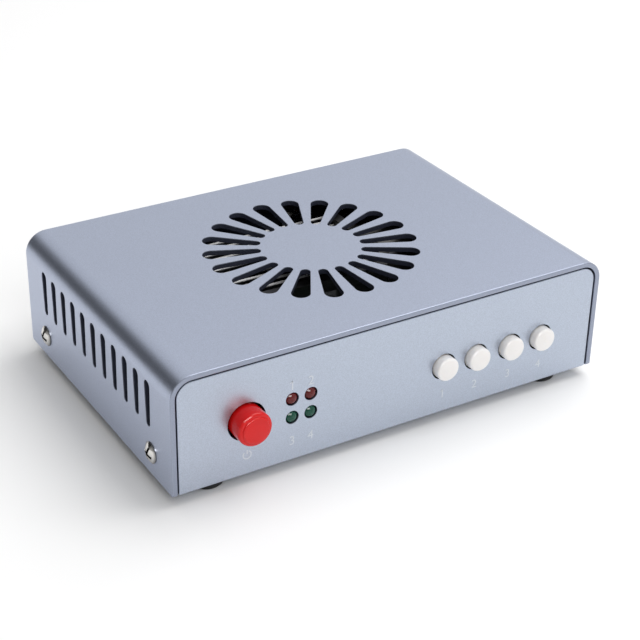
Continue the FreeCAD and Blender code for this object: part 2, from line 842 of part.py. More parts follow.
def capacitor(x, y, radius, height):
    """Can with a rolled groove near its foot and a soft top edge."""
    groove = 0.4
    edge = 0.6
    can = turned((0, 0), (radius, 0), (radius, 1.2), (radius - groove, 1.8), (radius, 2.4),
                 (radius, height - edge), (radius - edge, height), (0, height))
    return put(can, V(x, y, main_top))


def rectifier():
    long, wide, tall = rectifier_size
    x, y = rectifier_centre
    end, top = x + long / 2, main_top + tall
    body = box(about(x, long / 2), about(y, wide / 2), (main_top, top))
    notch = box((end - rectifier_notch, end + PAST), about(y, wide), (top - rectifier_notch, top + PAST))
    return body.cut(notch)


def terminal_blocks():
    """One block at each end of the board, wire entries facing outwards."""
    blocks = []
    top = main_top + block_size[2]
    for end, x in ((-1, main_board_x[0]), (1, main_board_x[1])):
        outer = x - end * block_inset
        limits = sorted((outer, outer - end * block_size[0]))
        block = box(limits, about(block_y, block_size[1] / 2), (main_top, top))
        for y in about(block_y, block_pole):
            entry = rod(V(outer + end * PAST, y, main_top + block_entry), V(-end, 0, 0),
                        block_bore, block_bore_depth + PAST)
            head = rod(V(outer - end * block_head_in, y, top - block_head_depth), UP,
                       block_head, block_head_depth + PAST)
            block = block.cut([entry, head])
        blocks.append(block)
    return blocks


def board_fuse():
    z = main_top + fuse_height
    waist = 0.2
    long = fuse_x[1] - fuse_x[0]
    tube = turned((0, 0), (fuse_radius, 0), (fuse_radius, fuse_cap), (fuse_radius - waist, fuse_cap),
                  (fuse_radius - waist, long - fuse_cap), (fuse_radius, long - fuse_cap),
                  (fuse_radius, long), (0, long))
    return put(tube, V(fuse_x[0], fuse_y, z), RIGHT)


def fuse_clips():
    z = main_top + fuse_height
    inner = fuse_radius + clip_fit
    outer = inner + clip_wall
    clips = []
    for middle in (fuse_x[0] + fuse_cap / 2, fuse_x[1] - fuse_cap / 2):
        block = box(about(middle, fuse_cap / 2 - clip_inset), about(fuse_y, outer),
                    (main_top, z + inner))
        tunnel = rod(V(middle - fuse_cap, fuse_y, z), RIGHT, inner, 2 * fuse_cap)
        mouth = box(about(middle, fuse_cap), about(fuse_y, inner * clip_mouth), (z, z + 2 * inner))
        clips.append(block.cut([tunnel, mouth]))
    return clips


def ribbon_cable():
    """Flat cable from the back of the front board, bent down to the main board."""
    y, z = board_back, base + ribbon_height
    far = main_board_front + ribbon_inset
    inner = ribbon_bend - ribbon_thick
    turn_y, turn_z = far - ribbon_bend, z - ribbon_bend
    slant = math.sqrt(0.5)
    face = outline(side, (y, z), (turn_y, z),
                   ((turn_y + ribbon_bend * slant, turn_z + ribbon_bend * slant), (far, turn_z)),
                   (far, main_top), (far - ribbon_thick, main_top), (far - ribbon_thick, turn_z),
                   ((turn_y + inner * slant, turn_z + inner * slant), (turn_y, z - ribbon_thick)),
                   (y, z - ribbon_thick))
    return face.extrude(V(ribbon_x[1] - ribbon_x[0], 0, 0)).translated(V(ribbon_x[0], 0, 0))


# Heat sink, triacs and fan
def heat_sink():
    """Comb profile drawn across the fins and drawn out along X."""
    top = floor + sink_height
    root = floor + sink_base
    steps = [(sink_front, top)]
    for k, middle in enumerate(fin_middles):
        if k > 0:
            steps += [(middle - sink_fin_root / 2, root), (middle - sink_fin_tip / 2, top)]
        steps += [(middle + sink_fin_tip / 2, top), (middle + sink_fin_root / 2, root)]
    steps[-1] = (sink_rear, floor)
    comb = outline(side, (sink_front, floor), *steps).extrude(V(sink_x[1] - sink_x[0], 0, 0))
    comb = comb.translated(V(sink_x[0], 0, 0))
    tapped = m3_shank + screw_fit
    holes = [rod(V(x, sink_front - PAST, triac_hole_z), REAR, tapped, sink_wall + sink_pitch)
             for x in triac_x]
    holes += [rod(V(x, sink_middle + s * sink_screw_y, floor - PAST), UP, tapped, sink_base)
              for x in sink_screw_x for s in (-1, 1)]
    holes += [rod(V(sink_x[1] + PAST, y, z), LEFT, fan_screw_shank + screw_fit,
                  fan_screw_bite + 2 * PAST) for y, z in fan_screw_places() if z < fan_z]
    return comb.cut(holes)


def triac_lead_places():
    return [(x + k * triac_lead_pitch, pad_front - triac_lead_out) for x in triac_x for k in (-1, 0, 1)]


def triacs():
    top = triac_low + triac_body
    face = pad_front - triac_thick
    half = triac_lead / 2
    drop = (main_low - triac_lead_past, triac_low)
    solids = []
    for x in triac_x:
        width = about(x, triac_width / 2)
        body = box(width, (face, pad_front), (triac_low, top))
        body = body.makeChamfer(triac_chamfer, edges_where(body, lambda m: near(m.y, face)))
        body = body.fuse(box(width, (pad_front - triac_tab_thick, pad_front), (top, top + triac_tab)))
        for lead_x, lead_y in triac_lead_places():
            if abs(lead_x - x) < triac_width:
                body = body.fuse(box(about(lead_x, half), about(lead_y, half * 0.6), drop))
        hole = rod(V(x, face, triac_hole_z), REAR, triac_hole, 2 * triac_thick)
        solids.append(body.removeSplitter().cut(hole))
    return solids


def triac_pads():
    half = triac_width / 2 + pad_margin
    low, high = triac_low - pad_margin, triac_low + triac_body + triac_tab + pad_margin
    pads = []
    for x in triac_x:
        pad = box(about(x, half), (pad_front, sink_front), (low, high))
        hole = rod(V(x, pad_front - PAST, triac_hole_z), REAR, triac_hole, pad_thick + 2 * PAST)
        pads.append(pad.cut(hole))
    return pads


def triac_screws():
    screw = m3_screw(triac_tab_thick + pad_thick + sink_wall)
    return [put(screw, V(x, pad_front - triac_tab_thick, triac_hole_z), FRONT) for x in triac_x]


def fan_screw_places():
    return [(y, z) for y in about(sink_middle, fan_hole_spread) for z in about(fan_z, fan_hole_spread)]


def fan_place(shape):
    """Fan pieces are drawn on Z from the intake face; the air leaves towards the fins."""
    return put(shape, V(fan_face, sink_middle, fan_z), LEFT)


def fan_frame():
    half = fan_side / 2
    flange = rounded(plan, half, half, fan_corner).extrude(V(0, 0, fan_flange))
    frame = flange.fuse(flange.translated(V(0, 0, fan_depth - fan_flange)))
    frame = frame.fuse(rod(V(0, 0, 0), UP, fan_bore + fan_barrel_wall, fan_depth)).removeSplitter()
    frame = frame.cut(rod(V(0, 0, -PAST), UP, fan_bore, fan_depth + 2 * PAST))
    low = fan_depth - fan_motor_disc
    strut = box((0, fan_bore + fan_barrel_wall / 2), about(0, fan_strut_width / 2), (low, fan_depth))
    motor = rod(V(0, 0, low), UP, fan_hub, fan_motor_disc)
    motor = motor.fuse(rod(V(0, 0, low - fan_boss_length), UP, fan_boss, fan_boss_length))
    for k in range(fan_struts):
        motor = motor.fuse(strut.rotated(V(0, 0, 0), UP, fan_strut_turn + k * 360 / fan_struts))
    frame = frame.fuse(motor).removeSplitter()
    holes = [rod(V(i * fan_hole_spread, k * fan_hole_spread, -PAST), UP, fan_hole, fan_depth + 2 * PAST)
             for i in (-1, 1) for k in (-1, 1)]
    bore = rod(V(0, 0, low - fan_boss_length - PAST), UP, fan_shaft + fan_shaft_fit,
               fan_boss_length + fan_motor_disc)
    return fan_place(frame.cut(holes + [bore]))


def fan_stator_ring():
    low = fan_depth - fan_motor_disc - fan_stator_length
    high = low + fan_stator_length
    inner = fan_boss + fan_stator_fit
    return fan_place(turned((inner, low), (fan_stator, low), (fan_stator, high), (inner, high)))


def blade_section(radius, chord, pitch):
    """Lens-shaped blade section, square to the blade's length at a radius."""
    angle = math.radians(pitch)
    along = V(0, math.cos(angle), math.sin(angle))
    across = V(0, -math.sin(angle), math.cos(angle))
    middle = V(radius, 0, fan_hub_start + fan_hub_length / 2)
    lead = middle - along * (chord / 2)
    trail = middle + along * (chord / 2)
    upper = middle + across * (fan_blade_camber + fan_blade_thick / 2)
    lower = middle + across * (fan_blade_camber - fan_blade_thick / 2)
    return Part.Wire([Part.Arc(lead, upper, trail).toShape(), Part.Arc(trail, lower, lead).toShape()])


def fan_rotor():
    """Hub cup with curved, twisted blades trimmed to the tip circle."""
    tip = fan_bore - fan_tip_gap
    sections = [blade_section(fan_hub - fan_hub_wall / 2, fan_root_chord, fan_root_pitch),
                blade_section(tip + PAST, fan_tip_chord, fan_tip_pitch)]
    blade = Part.makeLoft(sections, True, True)
    blade = blade.common(rod(V(0, 0, 0), UP, tip, fan_depth))
    start, inner = fan_hub_start, fan_hub - fan_hub_wall
    end = start + fan_hub_length
    edge = fan_hub_chamfer
    crown = start + fan_hub_wall + fan_hub_dish
    hub = turned((fan_shaft, start + fan_hub_dish), (fan_hub - edge, start), (fan_hub, start + edge),
                 (fan_hub, end), (inner, end), (inner, crown), (fan_shaft, crown))
    blades = [blade.rotated(V(0, 0, 0), UP, k * 360 / fan_blades) for k in range(fan_blades)]
    cup = rod(V(0, 0, crown), UP, inner, fan_depth)
    rotor = hub.fuse([piece.cut(cup) for piece in blades]).removeSplitter()
    return fan_place(rotor)


def fan_spindle():
    """Shaft carried by the hub and running in the motor's bearing tube."""
    low = fan_hub_start + fan_hub_dish
    return fan_place(rod(V(0, 0, low), UP, fan_shaft, fan_depth - fan_motor_disc + PAST - low))


def fan_screws():
    screw = small_screw(fan_screw_shank, fan_depth + fan_screw_bite)
    return [put(screw, V(fan_face, y, z), RIGHT) for y, z in fan_screw_places()]


# Transformer
def transformer_core():
    half = core_stack / 2
    window = (core_middle_leg / 2, core_width / 2 - core_leg)
    core = box(about(core_x, half), about(core_y, core_width / 2), (floor, floor + core_height))
    z = (floor + core_leg, floor + core_height - core_leg)
    for sign in (-1, 1):
        y = sorted(core_y + sign * edge for edge in window)
        core = core.cut(box(about(core_x, core_stack), y, z))
    return core


def transformer_winding():
    half_x = core_stack / 2 + winding_out
    half_y = core_width / 2 - core_leg - core_fit
    low, high = floor + core_leg + core_fit, floor + core_height - core_leg - core_fit
    coil = rounded(plan, half_x, half_y, winding_round).extrude(V(0, 0, high - low))
    coil = coil.translated(V(core_x, core_y, low))
    leg = box(about(core_x, core_stack / 2 + core_fit), about(core_y, core_middle_leg / 2 + core_fit),
              (low - PAST, high + PAST))
    return coil.cut(leg)


def transformer_strap():
    """Sheet strap over the core with an ear on the floor at each side."""
    inner = core_width / 2 + core_fit
    outer = inner + strap_wall
    end = outer + strap_ear
    top = floor + core_height + core_fit
    crown, ear = top + strap_wall, floor + strap_wall
    face = outline(side, (-end, floor), (-inner, floor), (-inner, top), (inner, top), (inner, floor),
                   (end, floor), (end, ear), (outer, ear), (outer, crown), (-outer, crown),
                   (-outer, ear), (-end, ear))
    half = core_stack / 2 - strap_inset
    strap = face.extrude(V(2 * half, 0, 0)).translated(V(core_x - half, core_y, 0))
    return strap.cut([rod(V(core_x, core_y + s * strap_screw, floor - PAST), UP, m3_shank + screw_fit,
                          strap_wall + 2 * PAST) for s in (-1, 1)])


# Rear panel
def inlet_outline(half_x, half_z):
    """Rectangle with its two upper corners cut off, as the mains plug has, about the inlet's middle."""
    cut = inlet_chamfer * half_z / inlet_body[1]
    points = [(-half_x, -half_z), (half_x, -half_z), (half_x, half_z - cut), (half_x - cut, half_z),
              (cut - half_x, half_z), (-half_x, half_z - cut)]
    place = [(inlet_x + u, rear_z + v) for u, v in points]
    return outline(elevation, *place)


def inlet_pin_places():
    return [(inlet_x - inlet_pin_x, rear_z + inlet_pin_low), (inlet_x, rear_z + inlet_pin_high),
            (inlet_x + inlet_pin_x, rear_z + inlet_pin_low)]


def inlet_back():
    """Rear end of the inlet's body, inside the case."""
    return rear_face - inlet_body_length


def mains_inlet():
    half_x, half_z, thick = inlet_flange
    flange = rounded(elevation, half_x, half_z, inlet_flange_round).extrude(V(0, thick, 0))
    flange = flange.translated(V(inlet_x, rear_face, rear_z))
    body = inlet_outline(*inlet_body).extrude(V(0, inlet_body_length, 0))
    body = body.translated(V(0, inlet_back(), 0))
    face = rear_face + thick
    cavity = inlet_outline(*inlet_cavity).extrude(V(0, inlet_cavity_depth + PAST, 0))
    cavity = cavity.translated(V(0, face - inlet_cavity_depth, 0))
    wide, tall = inlet_pin[0] / 2 + inlet_pin_fit, inlet_pin[1] / 2 + inlet_pin_fit
    slots = [box(about(x, wide), (inlet_back() - PAST, face), about(z, tall))
             for x, z in inlet_pin_places()]
    holes = [rod(V(inlet_x + s * inlet_screw_spread, rear_face - PAST, rear_z), REAR,
                 m3_shank + screw_room, thick + 2 * PAST) for s in (-1, 1)]
    return flange.fuse(body).removeSplitter().cut([cavity] + slots + holes)


def inlet_pins():
    """Flat pins in the socket, each with a push-on tab behind."""
    tip = rear_face + inlet_flange[2] - inlet_pin_recess
    wide, tall = inlet_pin[0] / 2, inlet_pin[1] / 2
    tab_wide, tab_tall, tab_long = inlet_tab
    pins = []
    for x, z in inlet_pin_places():
        blade = box(about(x, wide), (inlet_back(), tip), about(z, tall))
        end = edges_where(blade, lambda m: near(m.y, tip))
        blade = blade.makeChamfer(inlet_pin_chamfer, end)
        tab = box(about(x, tab_wide / 2), (inlet_back() - tab_long, inlet_back()),
                  about(z, tab_tall / 2))
        pins.append(blade.fuse(tab).removeSplitter())
    return pins


def inlet_screws():
    screw = m3_screw(inlet_flange[2] + chassis_wall + screw_past)
    return [put(screw, V(inlet_x + s * inlet_screw_spread, rear_face + inlet_flange[2], rear_z), REAR)
            for s in (-1, 1)]


def socket_places(shape):
    """A piece drawn on Z from the panel's outer face, at each of the round sockets."""
    return [put(shape, V(x, rear_face, rear_z), REAR) for x in socket_x]


def socket_shells():
    edge = socket_edge
    tail = socket_radius - socket_fit
    shell = turned((socket_bore, -socket_tail), (tail, -socket_tail), (tail, 0), (socket_flange, 0),
                   (socket_flange, socket_flange_thick), (socket_radius, socket_flange_thick),
                   (socket_radius, socket_reach - edge), (socket_radius - edge, socket_reach),
                   (socket_bore, socket_reach))
    return socket_places(shell)


def socket_inserts():
    low = -insert_front - insert_length
    insert = rod(V(0, 0, low), UP, socket_bore - stem_fit, insert_length)
    holes = [rod(V(x, y, low - PAST), UP, socket_pin_radius + stem_fit, insert_length + 2 * PAST)
             for x, y in socket_pin_circle_places()]
    return socket_places(insert.cut(holes))


def socket_pin_circle_places():
    turns = [math.radians(45 + 360 * k / socket_pins) for k in range(socket_pins)]
    return [(socket_pin_circle * math.cos(a), socket_pin_circle * math.sin(a)) for a in turns]


def socket_contacts():
    round_end = socket_pin_round
    low = socket_pin_tip - socket_pin_length
    pin = turned((0, low), (socket_pin_radius, low), (socket_pin_radius, socket_pin_tip - round_end),
                 (socket_pin_radius - round_end, socket_pin_tip), (0, socket_pin_tip))
    pins = [pin.translated(V(x, y, 0)) for x, y in socket_pin_circle_places()]
    return [put(Part.makeCompound(pins), V(x, rear_face, rear_z), REAR) for x in socket_x]


def socket_nuts():
    nut = hexagon(2 * socket_flange, socket_nut_thick)
    nut = nut.cut(rod(V(0, 0, -PAST), UP, socket_radius, socket_nut_thick + 2 * PAST))
    return socket_places(nut.translated(V(0, 0, -chassis_wall - socket_nut_thick)))


# Wires
def mains_wires():
    """Inlet to the switch's upper blades, and the lower blades to the left terminal block."""
    blade_end = switch_back + switch_blade[1]
    tab_end = inlet_back() - inlet_tab[2]
    upper, lower = power_z + switch_blade_z, power_z - switch_blade_z
    tab_z = rear_z + inlet_pin_low
    wires = []
    for sign in (-1, 1):
        tab_x, blade_x = inlet_x + sign * inlet_pin_x, power_x + sign * switch_blade_x
        wires.append(wire([(tab_x, tab_end, tab_z), (tab_x, tab_end - wire_run, tab_z),
                           (blade_x, blade_end + wire_run, upper), (blade_x, blade_end, upper)],
                          mains_wire, wire_bend))
    entry_x = main_board_x[0] + block_inset
    entry_z = main_top + block_entry
    for sign, back, lane, pole in mains_lanes:
        blade_x = power_x + sign * switch_blade_x
        lane_x, turn_y = main_board_x[0] - lane, blade_end + back
        pole_y = block_y + pole * block_pole
        wires.append(wire([(blade_x, blade_end, lower), (blade_x, turn_y, lower),
                           (lane_x, turn_y, entry_z), (lane_x, pole_y, entry_z),
                           (entry_x, pole_y, entry_z)], mains_wire, lane_bend))
    return wires


def earth_wire():
    """Earth tab of the inlet down to a ring on the floor."""
    x, z = inlet_pin_places()[1]
    tab_end = inlet_back() - inlet_tab[2]
    end_y = earth_stud_y + earth_ring
    return wire([(x, tab_end, z), (x, end_y, z), (x, end_y, floor + earth_ring_thick)],
                mains_wire, earth_bend)


def earth_lug():
    """Ring under the earth screw with a flat tongue that the wire is fixed to."""
    ring = rod(V(inlet_x, earth_stud_y, floor), UP, earth_ring, earth_ring_thick)
    tongue = box(about(inlet_x, earth_tongue), (earth_stud_y, earth_stud_y + earth_ring + earth_tongue),
                 (floor, floor + earth_ring_thick))
    hole = rod(V(inlet_x, earth_stud_y, floor - PAST), UP, m3_shank + screw_room,
               earth_ring_thick + 2 * PAST)
    return ring.fuse(tongue).removeSplitter().cut(hole)


def earth_screw():
    screw = m3_screw(earth_ring_thick + chassis_wall)
    return put(screw, V(inlet_x, earth_stud_y, floor + earth_ring_thick))


def output_wires():
    """From the two heater sockets, past the fan, to the right terminal block."""
    start = rear_face - insert_front - insert_length
    lane = fan_face + output_lane
    entry_x = main_board_x[1] - block_inset
    entry_z = main_top + block_entry
    first_x, second_x = socket_x[0], socket_x[1]
    high = rear_z + output_rise
    long_run, short_run, dip = output_runs
    rear_pole, front_pole = block_y + block_pole, block_y - block_pole
    straight = wire([(second_x, start, rear_z), (second_x, start - long_run, rear_z),
                     (lane, sink_middle, entry_z), (lane, rear_pole, entry_z),
                     (entry_x, rear_pole, entry_z)], output_wire, output_bend)
    crossing = wire([(first_x, start, rear_z), (first_x, start - short_run, rear_z),
                     (lane, start - short_run, high), (lane, block_y + dip, high),
                     (lane, front_pole, entry_z), (entry_x, front_pole, entry_z)],
                    output_wire, output_bend)
    return [straight, crossing]


os.makedirs("parts", exist_ok=True)
save("top_cover", top_cover())
save("base_chassis", base_chassis())
save("cover_screws", *cover_screws())
save("rubber_feet", *rubber_feet())
save("foot_screws", *foot_screws())
save("bottom_screws", *bottom_screws())
save("board_standoffs", *board_standoffs())
save("board_screws", *board_screws())
save("front_board", front_board())
save("main_board", main_board())
save("green_lamps", *lamps(lamp_heights[0]))
save("red_lamps", *lamps(lamp_heights[1]))
save("key_switches", *key_switches())
for number, x in enumerate(key_x, start=1):
    save("key_plunger_%d" % number, key_plunger(x))
    save("key_cap_%d" % number, key_cap(x))
save("power_cap", power_cap())
save("power_plunger", power_plunger())
save("switch_bracket", switch_bracket())
save("power_switch", power_switch())
save("switch_screws", *switch_screws())
save("microcontroller", dual_in_line(chip_size, chip_pins, *chip_centre))
save("optocouplers", *[dual_in_line(opto_size, opto_pins, x, opto_y) for x in triac_x])
save("capacitors", *[capacitor(*can) for can in capacitors])
save("rectifier", rectifier())
save("terminal_blocks", *terminal_blocks())
save("board_fuse", board_fuse())
save("fuse_clips", *fuse_clips())
save("ribbon_cable", ribbon_cable())
save("heat_sink", heat_sink())
save("triacs", *triacs())
save("triac_pads", *triac_pads())
save("triac_screws", *triac_screws())
save("fan_frame", fan_frame())
save("fan_stator", fan_stator_ring())
save("fan_rotor", fan_rotor())
save("fan_shaft", fan_spindle())
save("fan_screws", *fan_screws())
save("transformer_core", transformer_core())
save("transformer_winding", transformer_winding())
save("transformer_strap", transformer_strap())
save("mains_inlet", mains_inlet())
save("inlet_pins", *inlet_pins())
save("inlet_screws", *inlet_screws())
save("socket_shells", *socket_shells())
save("socket_inserts", *socket_inserts())
save("socket_pins", *socket_contacts())
save("socket_nuts", *socket_nuts())
save("mains_wires", *mains_wires())
save("earth_wire", earth_wire())
save("earth_lug", earth_lug())
save("earth_screw", earth_screw())
save("output_wires", *output_wires())
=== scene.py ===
import json
import math

import bpy
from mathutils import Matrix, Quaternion, Vector

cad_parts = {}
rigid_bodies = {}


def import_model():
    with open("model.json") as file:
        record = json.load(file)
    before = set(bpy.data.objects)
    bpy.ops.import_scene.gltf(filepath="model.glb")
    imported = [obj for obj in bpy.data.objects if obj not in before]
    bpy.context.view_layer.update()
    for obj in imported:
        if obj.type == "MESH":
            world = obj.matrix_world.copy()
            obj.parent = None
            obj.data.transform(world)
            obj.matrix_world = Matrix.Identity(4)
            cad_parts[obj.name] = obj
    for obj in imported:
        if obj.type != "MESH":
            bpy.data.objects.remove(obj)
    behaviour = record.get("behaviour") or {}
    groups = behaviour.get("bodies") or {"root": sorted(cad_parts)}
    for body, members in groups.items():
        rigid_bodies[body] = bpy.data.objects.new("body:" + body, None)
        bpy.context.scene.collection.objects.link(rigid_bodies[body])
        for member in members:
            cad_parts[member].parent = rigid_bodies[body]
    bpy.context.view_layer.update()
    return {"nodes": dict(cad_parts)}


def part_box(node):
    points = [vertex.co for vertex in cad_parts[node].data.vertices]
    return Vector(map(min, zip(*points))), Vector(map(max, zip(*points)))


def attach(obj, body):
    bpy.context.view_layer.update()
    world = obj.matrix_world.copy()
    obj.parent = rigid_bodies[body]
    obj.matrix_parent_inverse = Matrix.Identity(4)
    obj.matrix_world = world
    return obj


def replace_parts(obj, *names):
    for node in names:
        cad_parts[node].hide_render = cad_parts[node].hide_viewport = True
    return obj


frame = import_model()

# Looks of the control unit: coated sheet case, push caps, lamps, boards, fins and rear sockets.
# Metres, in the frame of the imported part: X to the right, Y to the rear, Z up.
MM = 0.001
KEYS = (1, 2, 3, 4)
KEY_CAPS = ["key_cap_%d" % key for key in KEYS]
KEY_PLUNGERS = ["key_plunger_%d" % key for key in KEYS]
nodes = frame["nodes"]


class Value:
    """An output of a node; arithmetic on it adds Math nodes to the same finish."""

    def __init__(self, finish, output):
        self.finish = finish
        self.output = output

    def maths(self, operation, first, second):
        return self.finish.node("Math", {"operation": operation}, {0: first, 1: second})

    def __add__(self, other):
        return self.maths("ADD", self, other)

    def __sub__(self, other):
        return self.maths("SUBTRACT", self, other)

    def __rsub__(self, other):
        return self.maths("SUBTRACT", other, self)

    def __mul__(self, other):
        return self.maths("MULTIPLY", self, other)

    def __pow__(self, other):
        return self.maths("POWER", self, other)

    def __abs__(self):
        return self.maths("ABSOLUTE", self, 0)

    def at_least(self, other):
        return self.maths("MAXIMUM", self, other)

    __radd__ = __add__
    __rmul__ = __mul__


class Finish:
    """A node tree: even values on its shader, and nodes for what varies."""

    def __init__(self, owner, shader, even):
        owner.use_nodes = True
        self.tree = owner.node_tree
        self.shader = self.tree.nodes[shader]
        for label, value in even.items():
            self.shader.inputs[label].default_value = value

    def node(self, kind, settings=None, inputs=None, output=0):
        """Adds a node: its settings first, then the values or links of its sockets."""
        made = self.tree.nodes.new("ShaderNode" + kind)
        for label, value in (settings or {}).items():
            setattr(made, label, value)
        for label, value in (inputs or {}).items():
            if isinstance(value, Value):
                self.tree.links.new(value.output, made.inputs[label])
            else:
                made.inputs[label].default_value = value
        return Value(self, made.outputs[output])

    def drive(self, label, value):
        """Feeds a value that varies into the shader."""
        self.tree.links.new(value.output, self.shader.inputs[label])

    def place(self, stretch=(1, 1, 1)):
        spot = self.node("TexCoord", output="Object")
        return self.node("Mapping", {}, {"Vector": spot, "Scale": stretch})

    def along(self, axis):
        """Place along one axis, in metres."""
        return self.node("SeparateXYZ", {}, {"Vector": self.place()}, axis)

    def grain(self, size, detail=2.0, stretch=(1, 1, 1)):
        """Soft random pattern from 0 to 1, with features of about this size in metres."""
        return self.node("TexNoise", {}, {"Vector": self.place(stretch), "Scale": 1 / size,
                                          "Detail": detail})

    def steps(self, value, low, high):
        """Value spread between two limits, held to 0 and 1 outside them."""
        return self.node("MapRange", {"clamp": True, "interpolation_type": "SMOOTHSTEP"},
                         {"Value": value, "From Min": low, "From Max": high})

    def tint(self, amount, first, second):
        """Mix of two colours, each a plain colour or another mix.

        A Mix node's colours are its sockets 6 and 7, and the mixed colour is its output 2."""
        first, second = [c if isinstance(c, Value) else (*c, 1) for c in (first, second)]
        return self.node("Mix", {"data_type": "RGBA"}, {0: amount, 6: first, 7: second}, 2)

    def relief(self, height, depth, strength):
        """Fine unevenness of the surface, up to this depth in metres."""
        bump = self.node("Bump", {}, {"Height": height, "Distance": depth, "Strength": strength})
        self.drive("Normal", bump)


class Surface(Finish):
    """A procedural material."""

    def __init__(self, name, even):
        self.material = bpy.data.materials.new(name)
        super().__init__(self.material, "Principled BSDF", even)


def shaded(colour, factor):
    return tuple(min(1.0, part * factor) for part in colour)


def cover_depth(coat):
    """How deep a point of the cover lies below its outer skin, and how far from the middle."""
    wide = abs(coat.along("X")) - (cover_half - cover_bend)
    high = coat.along("Z") - (cover_top - cover_bend)
    shoulder = (wide.at_least(0) ** 2 + high.at_least(0) ** 2) ** 0.5
    return cover_bend - shoulder, abs(coat.along("Y"))


def chassis_depth(coat):
    """How far a point of the chassis lies above its underside, and how far from the middle."""
    return coat.along("Z") - chassis_low.z, abs(coat.along("Y"))


def coated_sheet(name, blue, depth_below, rim, unshaded_width, edge_shade=0.0):
    """Fine-textured blue-grey metallic coat on sheet; cut walls and inside get dark painted shade.

    The painted shade stops a short way in from the sheet's front and rear rims, and the rim's edge
    itself can be darkened as painted shade that dims its highlight."""
    fleck_size, cloud_size = 0.35 * MM, 30 * MM
    # Painted shade on cut walls and inside: where it starts and is full below the skin, and its
    # dark navy colours.
    inner_shade_from, inner_shade_full = 0.12 * MM, 0.40 * MM
    inner_shade_dark, inner_shade_pale = (0.025, 0.029, 0.050), (0.043, 0.049, 0.078)
    edge_inner, edge_outer = rim - 0.45 * MM, rim - 0.1 * MM
    coat = Surface(name, {"IOR": 1.5})
    fleck = coat.grain(fleck_size, detail=3.0)
    cloud = coat.grain(cloud_size)
    body = coat.tint(coat.steps(fleck, 0.3, 0.7), shaded(blue, 0.90), shaded(blue, 1.08))
    body = coat.tint(coat.steps(cloud, 0.2, 0.8) * 0.12, body, shaded(blue, 0.93))
    depth, out = depth_below(coat)
    # Painted shade on the rim edge: its colour is darkened to dim the highlight there.
    if edge_shade:
        edge = coat.steps(out, edge_inner, edge_outer)
        body = coat.tint(edge * edge_shade, body, shaded(blue, 0.4))
    # Painted shade: cut walls and the inside take the dark colour, except in a band in from the
    # rims.
    unshaded = coat.steps(out, rim - unshaded_width, rim - 0.6 * unshaded_width)
    inner_shade = coat.steps(depth, inner_shade_from, inner_shade_full) * (1 - unshaded)
    inner_shade_colour = coat.tint(fleck, inner_shade_dark, inner_shade_pale)
    coat.drive("Base Color", coat.tint(inner_shade, body, inner_shade_colour))
    coat.drive("Metallic", 0.92 - inner_shade * 0.6)
    coat.drive("Roughness", fleck * 0.10 + inner_shade * 0.15 + 0.31)
    coat.relief(fleck, 0.05 * MM, 0.35)
    return coat.material


def moulded(name, colour, roughness, grain=0.6 * MM, coat=0.0, gloss=0.5, uneven=0.07, milky=0.0):
    """Moulded plastic with a faint surface grain and slight handling marks."""
    mark_size = 6 * MM
    plastic = Surface(name, {"IOR": 1.49, "Coat Weight": coat, "Coat Roughness": 0.12,
                             "Specular IOR Level": gloss, "Subsurface Weight": milky,
                             "Subsurface Radius": (1.0, 0.95, 0.9), "Subsurface Scale": 2.0 * MM})
    fine = plastic.grain(grain, detail=3.0)
    cloud = plastic.grain(mark_size)
    body = plastic.tint(plastic.steps(cloud, 0.25, 0.75), shaded(colour, 1 - uneven),
                        shaded(colour, 1 + 0.6 * uneven))
    plastic.drive("Base Color", plastic.tint(fine * 0.25, body, shaded(colour, 1 - 1.7 * uneven)))
    plastic.drive("Roughness", cloud * 0.10 + fine * 0.06 + (roughness - 0.08))
    plastic.relief(fine, 0.02 * MM, 0.3)
    return plastic.material


DRAWN_LINES = 0.5 * MM
DULL_PATCHES = 4 * MM


def dulled_metal(metal, dull, colour):
    return metal.tint(metal.steps(dull, 0.3, 0.8), colour, shaded(colour, 0.82))


def plated(name, colour, roughness):
    """Plated or bare metal with fine drawn lines and a little dulling."""
    metal = Surface(name, {"Metallic": 1.0})
    lines = metal.grain(DRAWN_LINES, detail=4.0)
    dull = metal.grain(DULL_PATCHES)
    metal.drive("Base Color", dulled_metal(metal, dull, colour))
    metal.drive("Roughness", lines * 0.12 + dull * 0.10 + (roughness - 0.10))
    metal.relief(lines, 0.01 * MM, 0.25)
    return metal.material


def domed_nickel(colour, low, high, seat):
    """Nickel on the cover screws' domed heads; painted shade in the recess and round the rim."""
    height, straight = 1.8 * MM, 0.35 * MM
    skin_ends, dark_starts = 0.05 * MM, 0.45 * MM
    head = (high.z - low.z) / 2
    ball = (head ** 2 + (height - straight) ** 2) / (2 * (height - straight))
    metal = Surface("domed_nickel", {"Metallic": 1.0})
    across = abs(metal.along("Y")) - (high.y - head)
    up = metal.along("Z") - (low.z + head)
    square = across * across + up * up
    depth = (ball ** 2 - square) ** 0.5 + (seat + height - ball) - abs(metal.along("X"))
    # Painted shade: darker with depth in the cross recess, and a dark ring round the head's rim.
    recess_shade = metal.steps(depth, skin_ends, dark_starts)
    rim = metal.steps(square ** 0.5, 0.80 * head, 0.98 * head)
    dull = metal.grain(DULL_PATCHES)
    body = metal.tint(rim * 0.7, dulled_metal(metal, dull, colour), shaded(colour, 0.25))
    metal.drive("Base Color", metal.tint(recess_shade, body, shaded(colour, 0.05)))
    metal.drive("Roughness", dull * 0.10 + 0.10)
    return metal.material


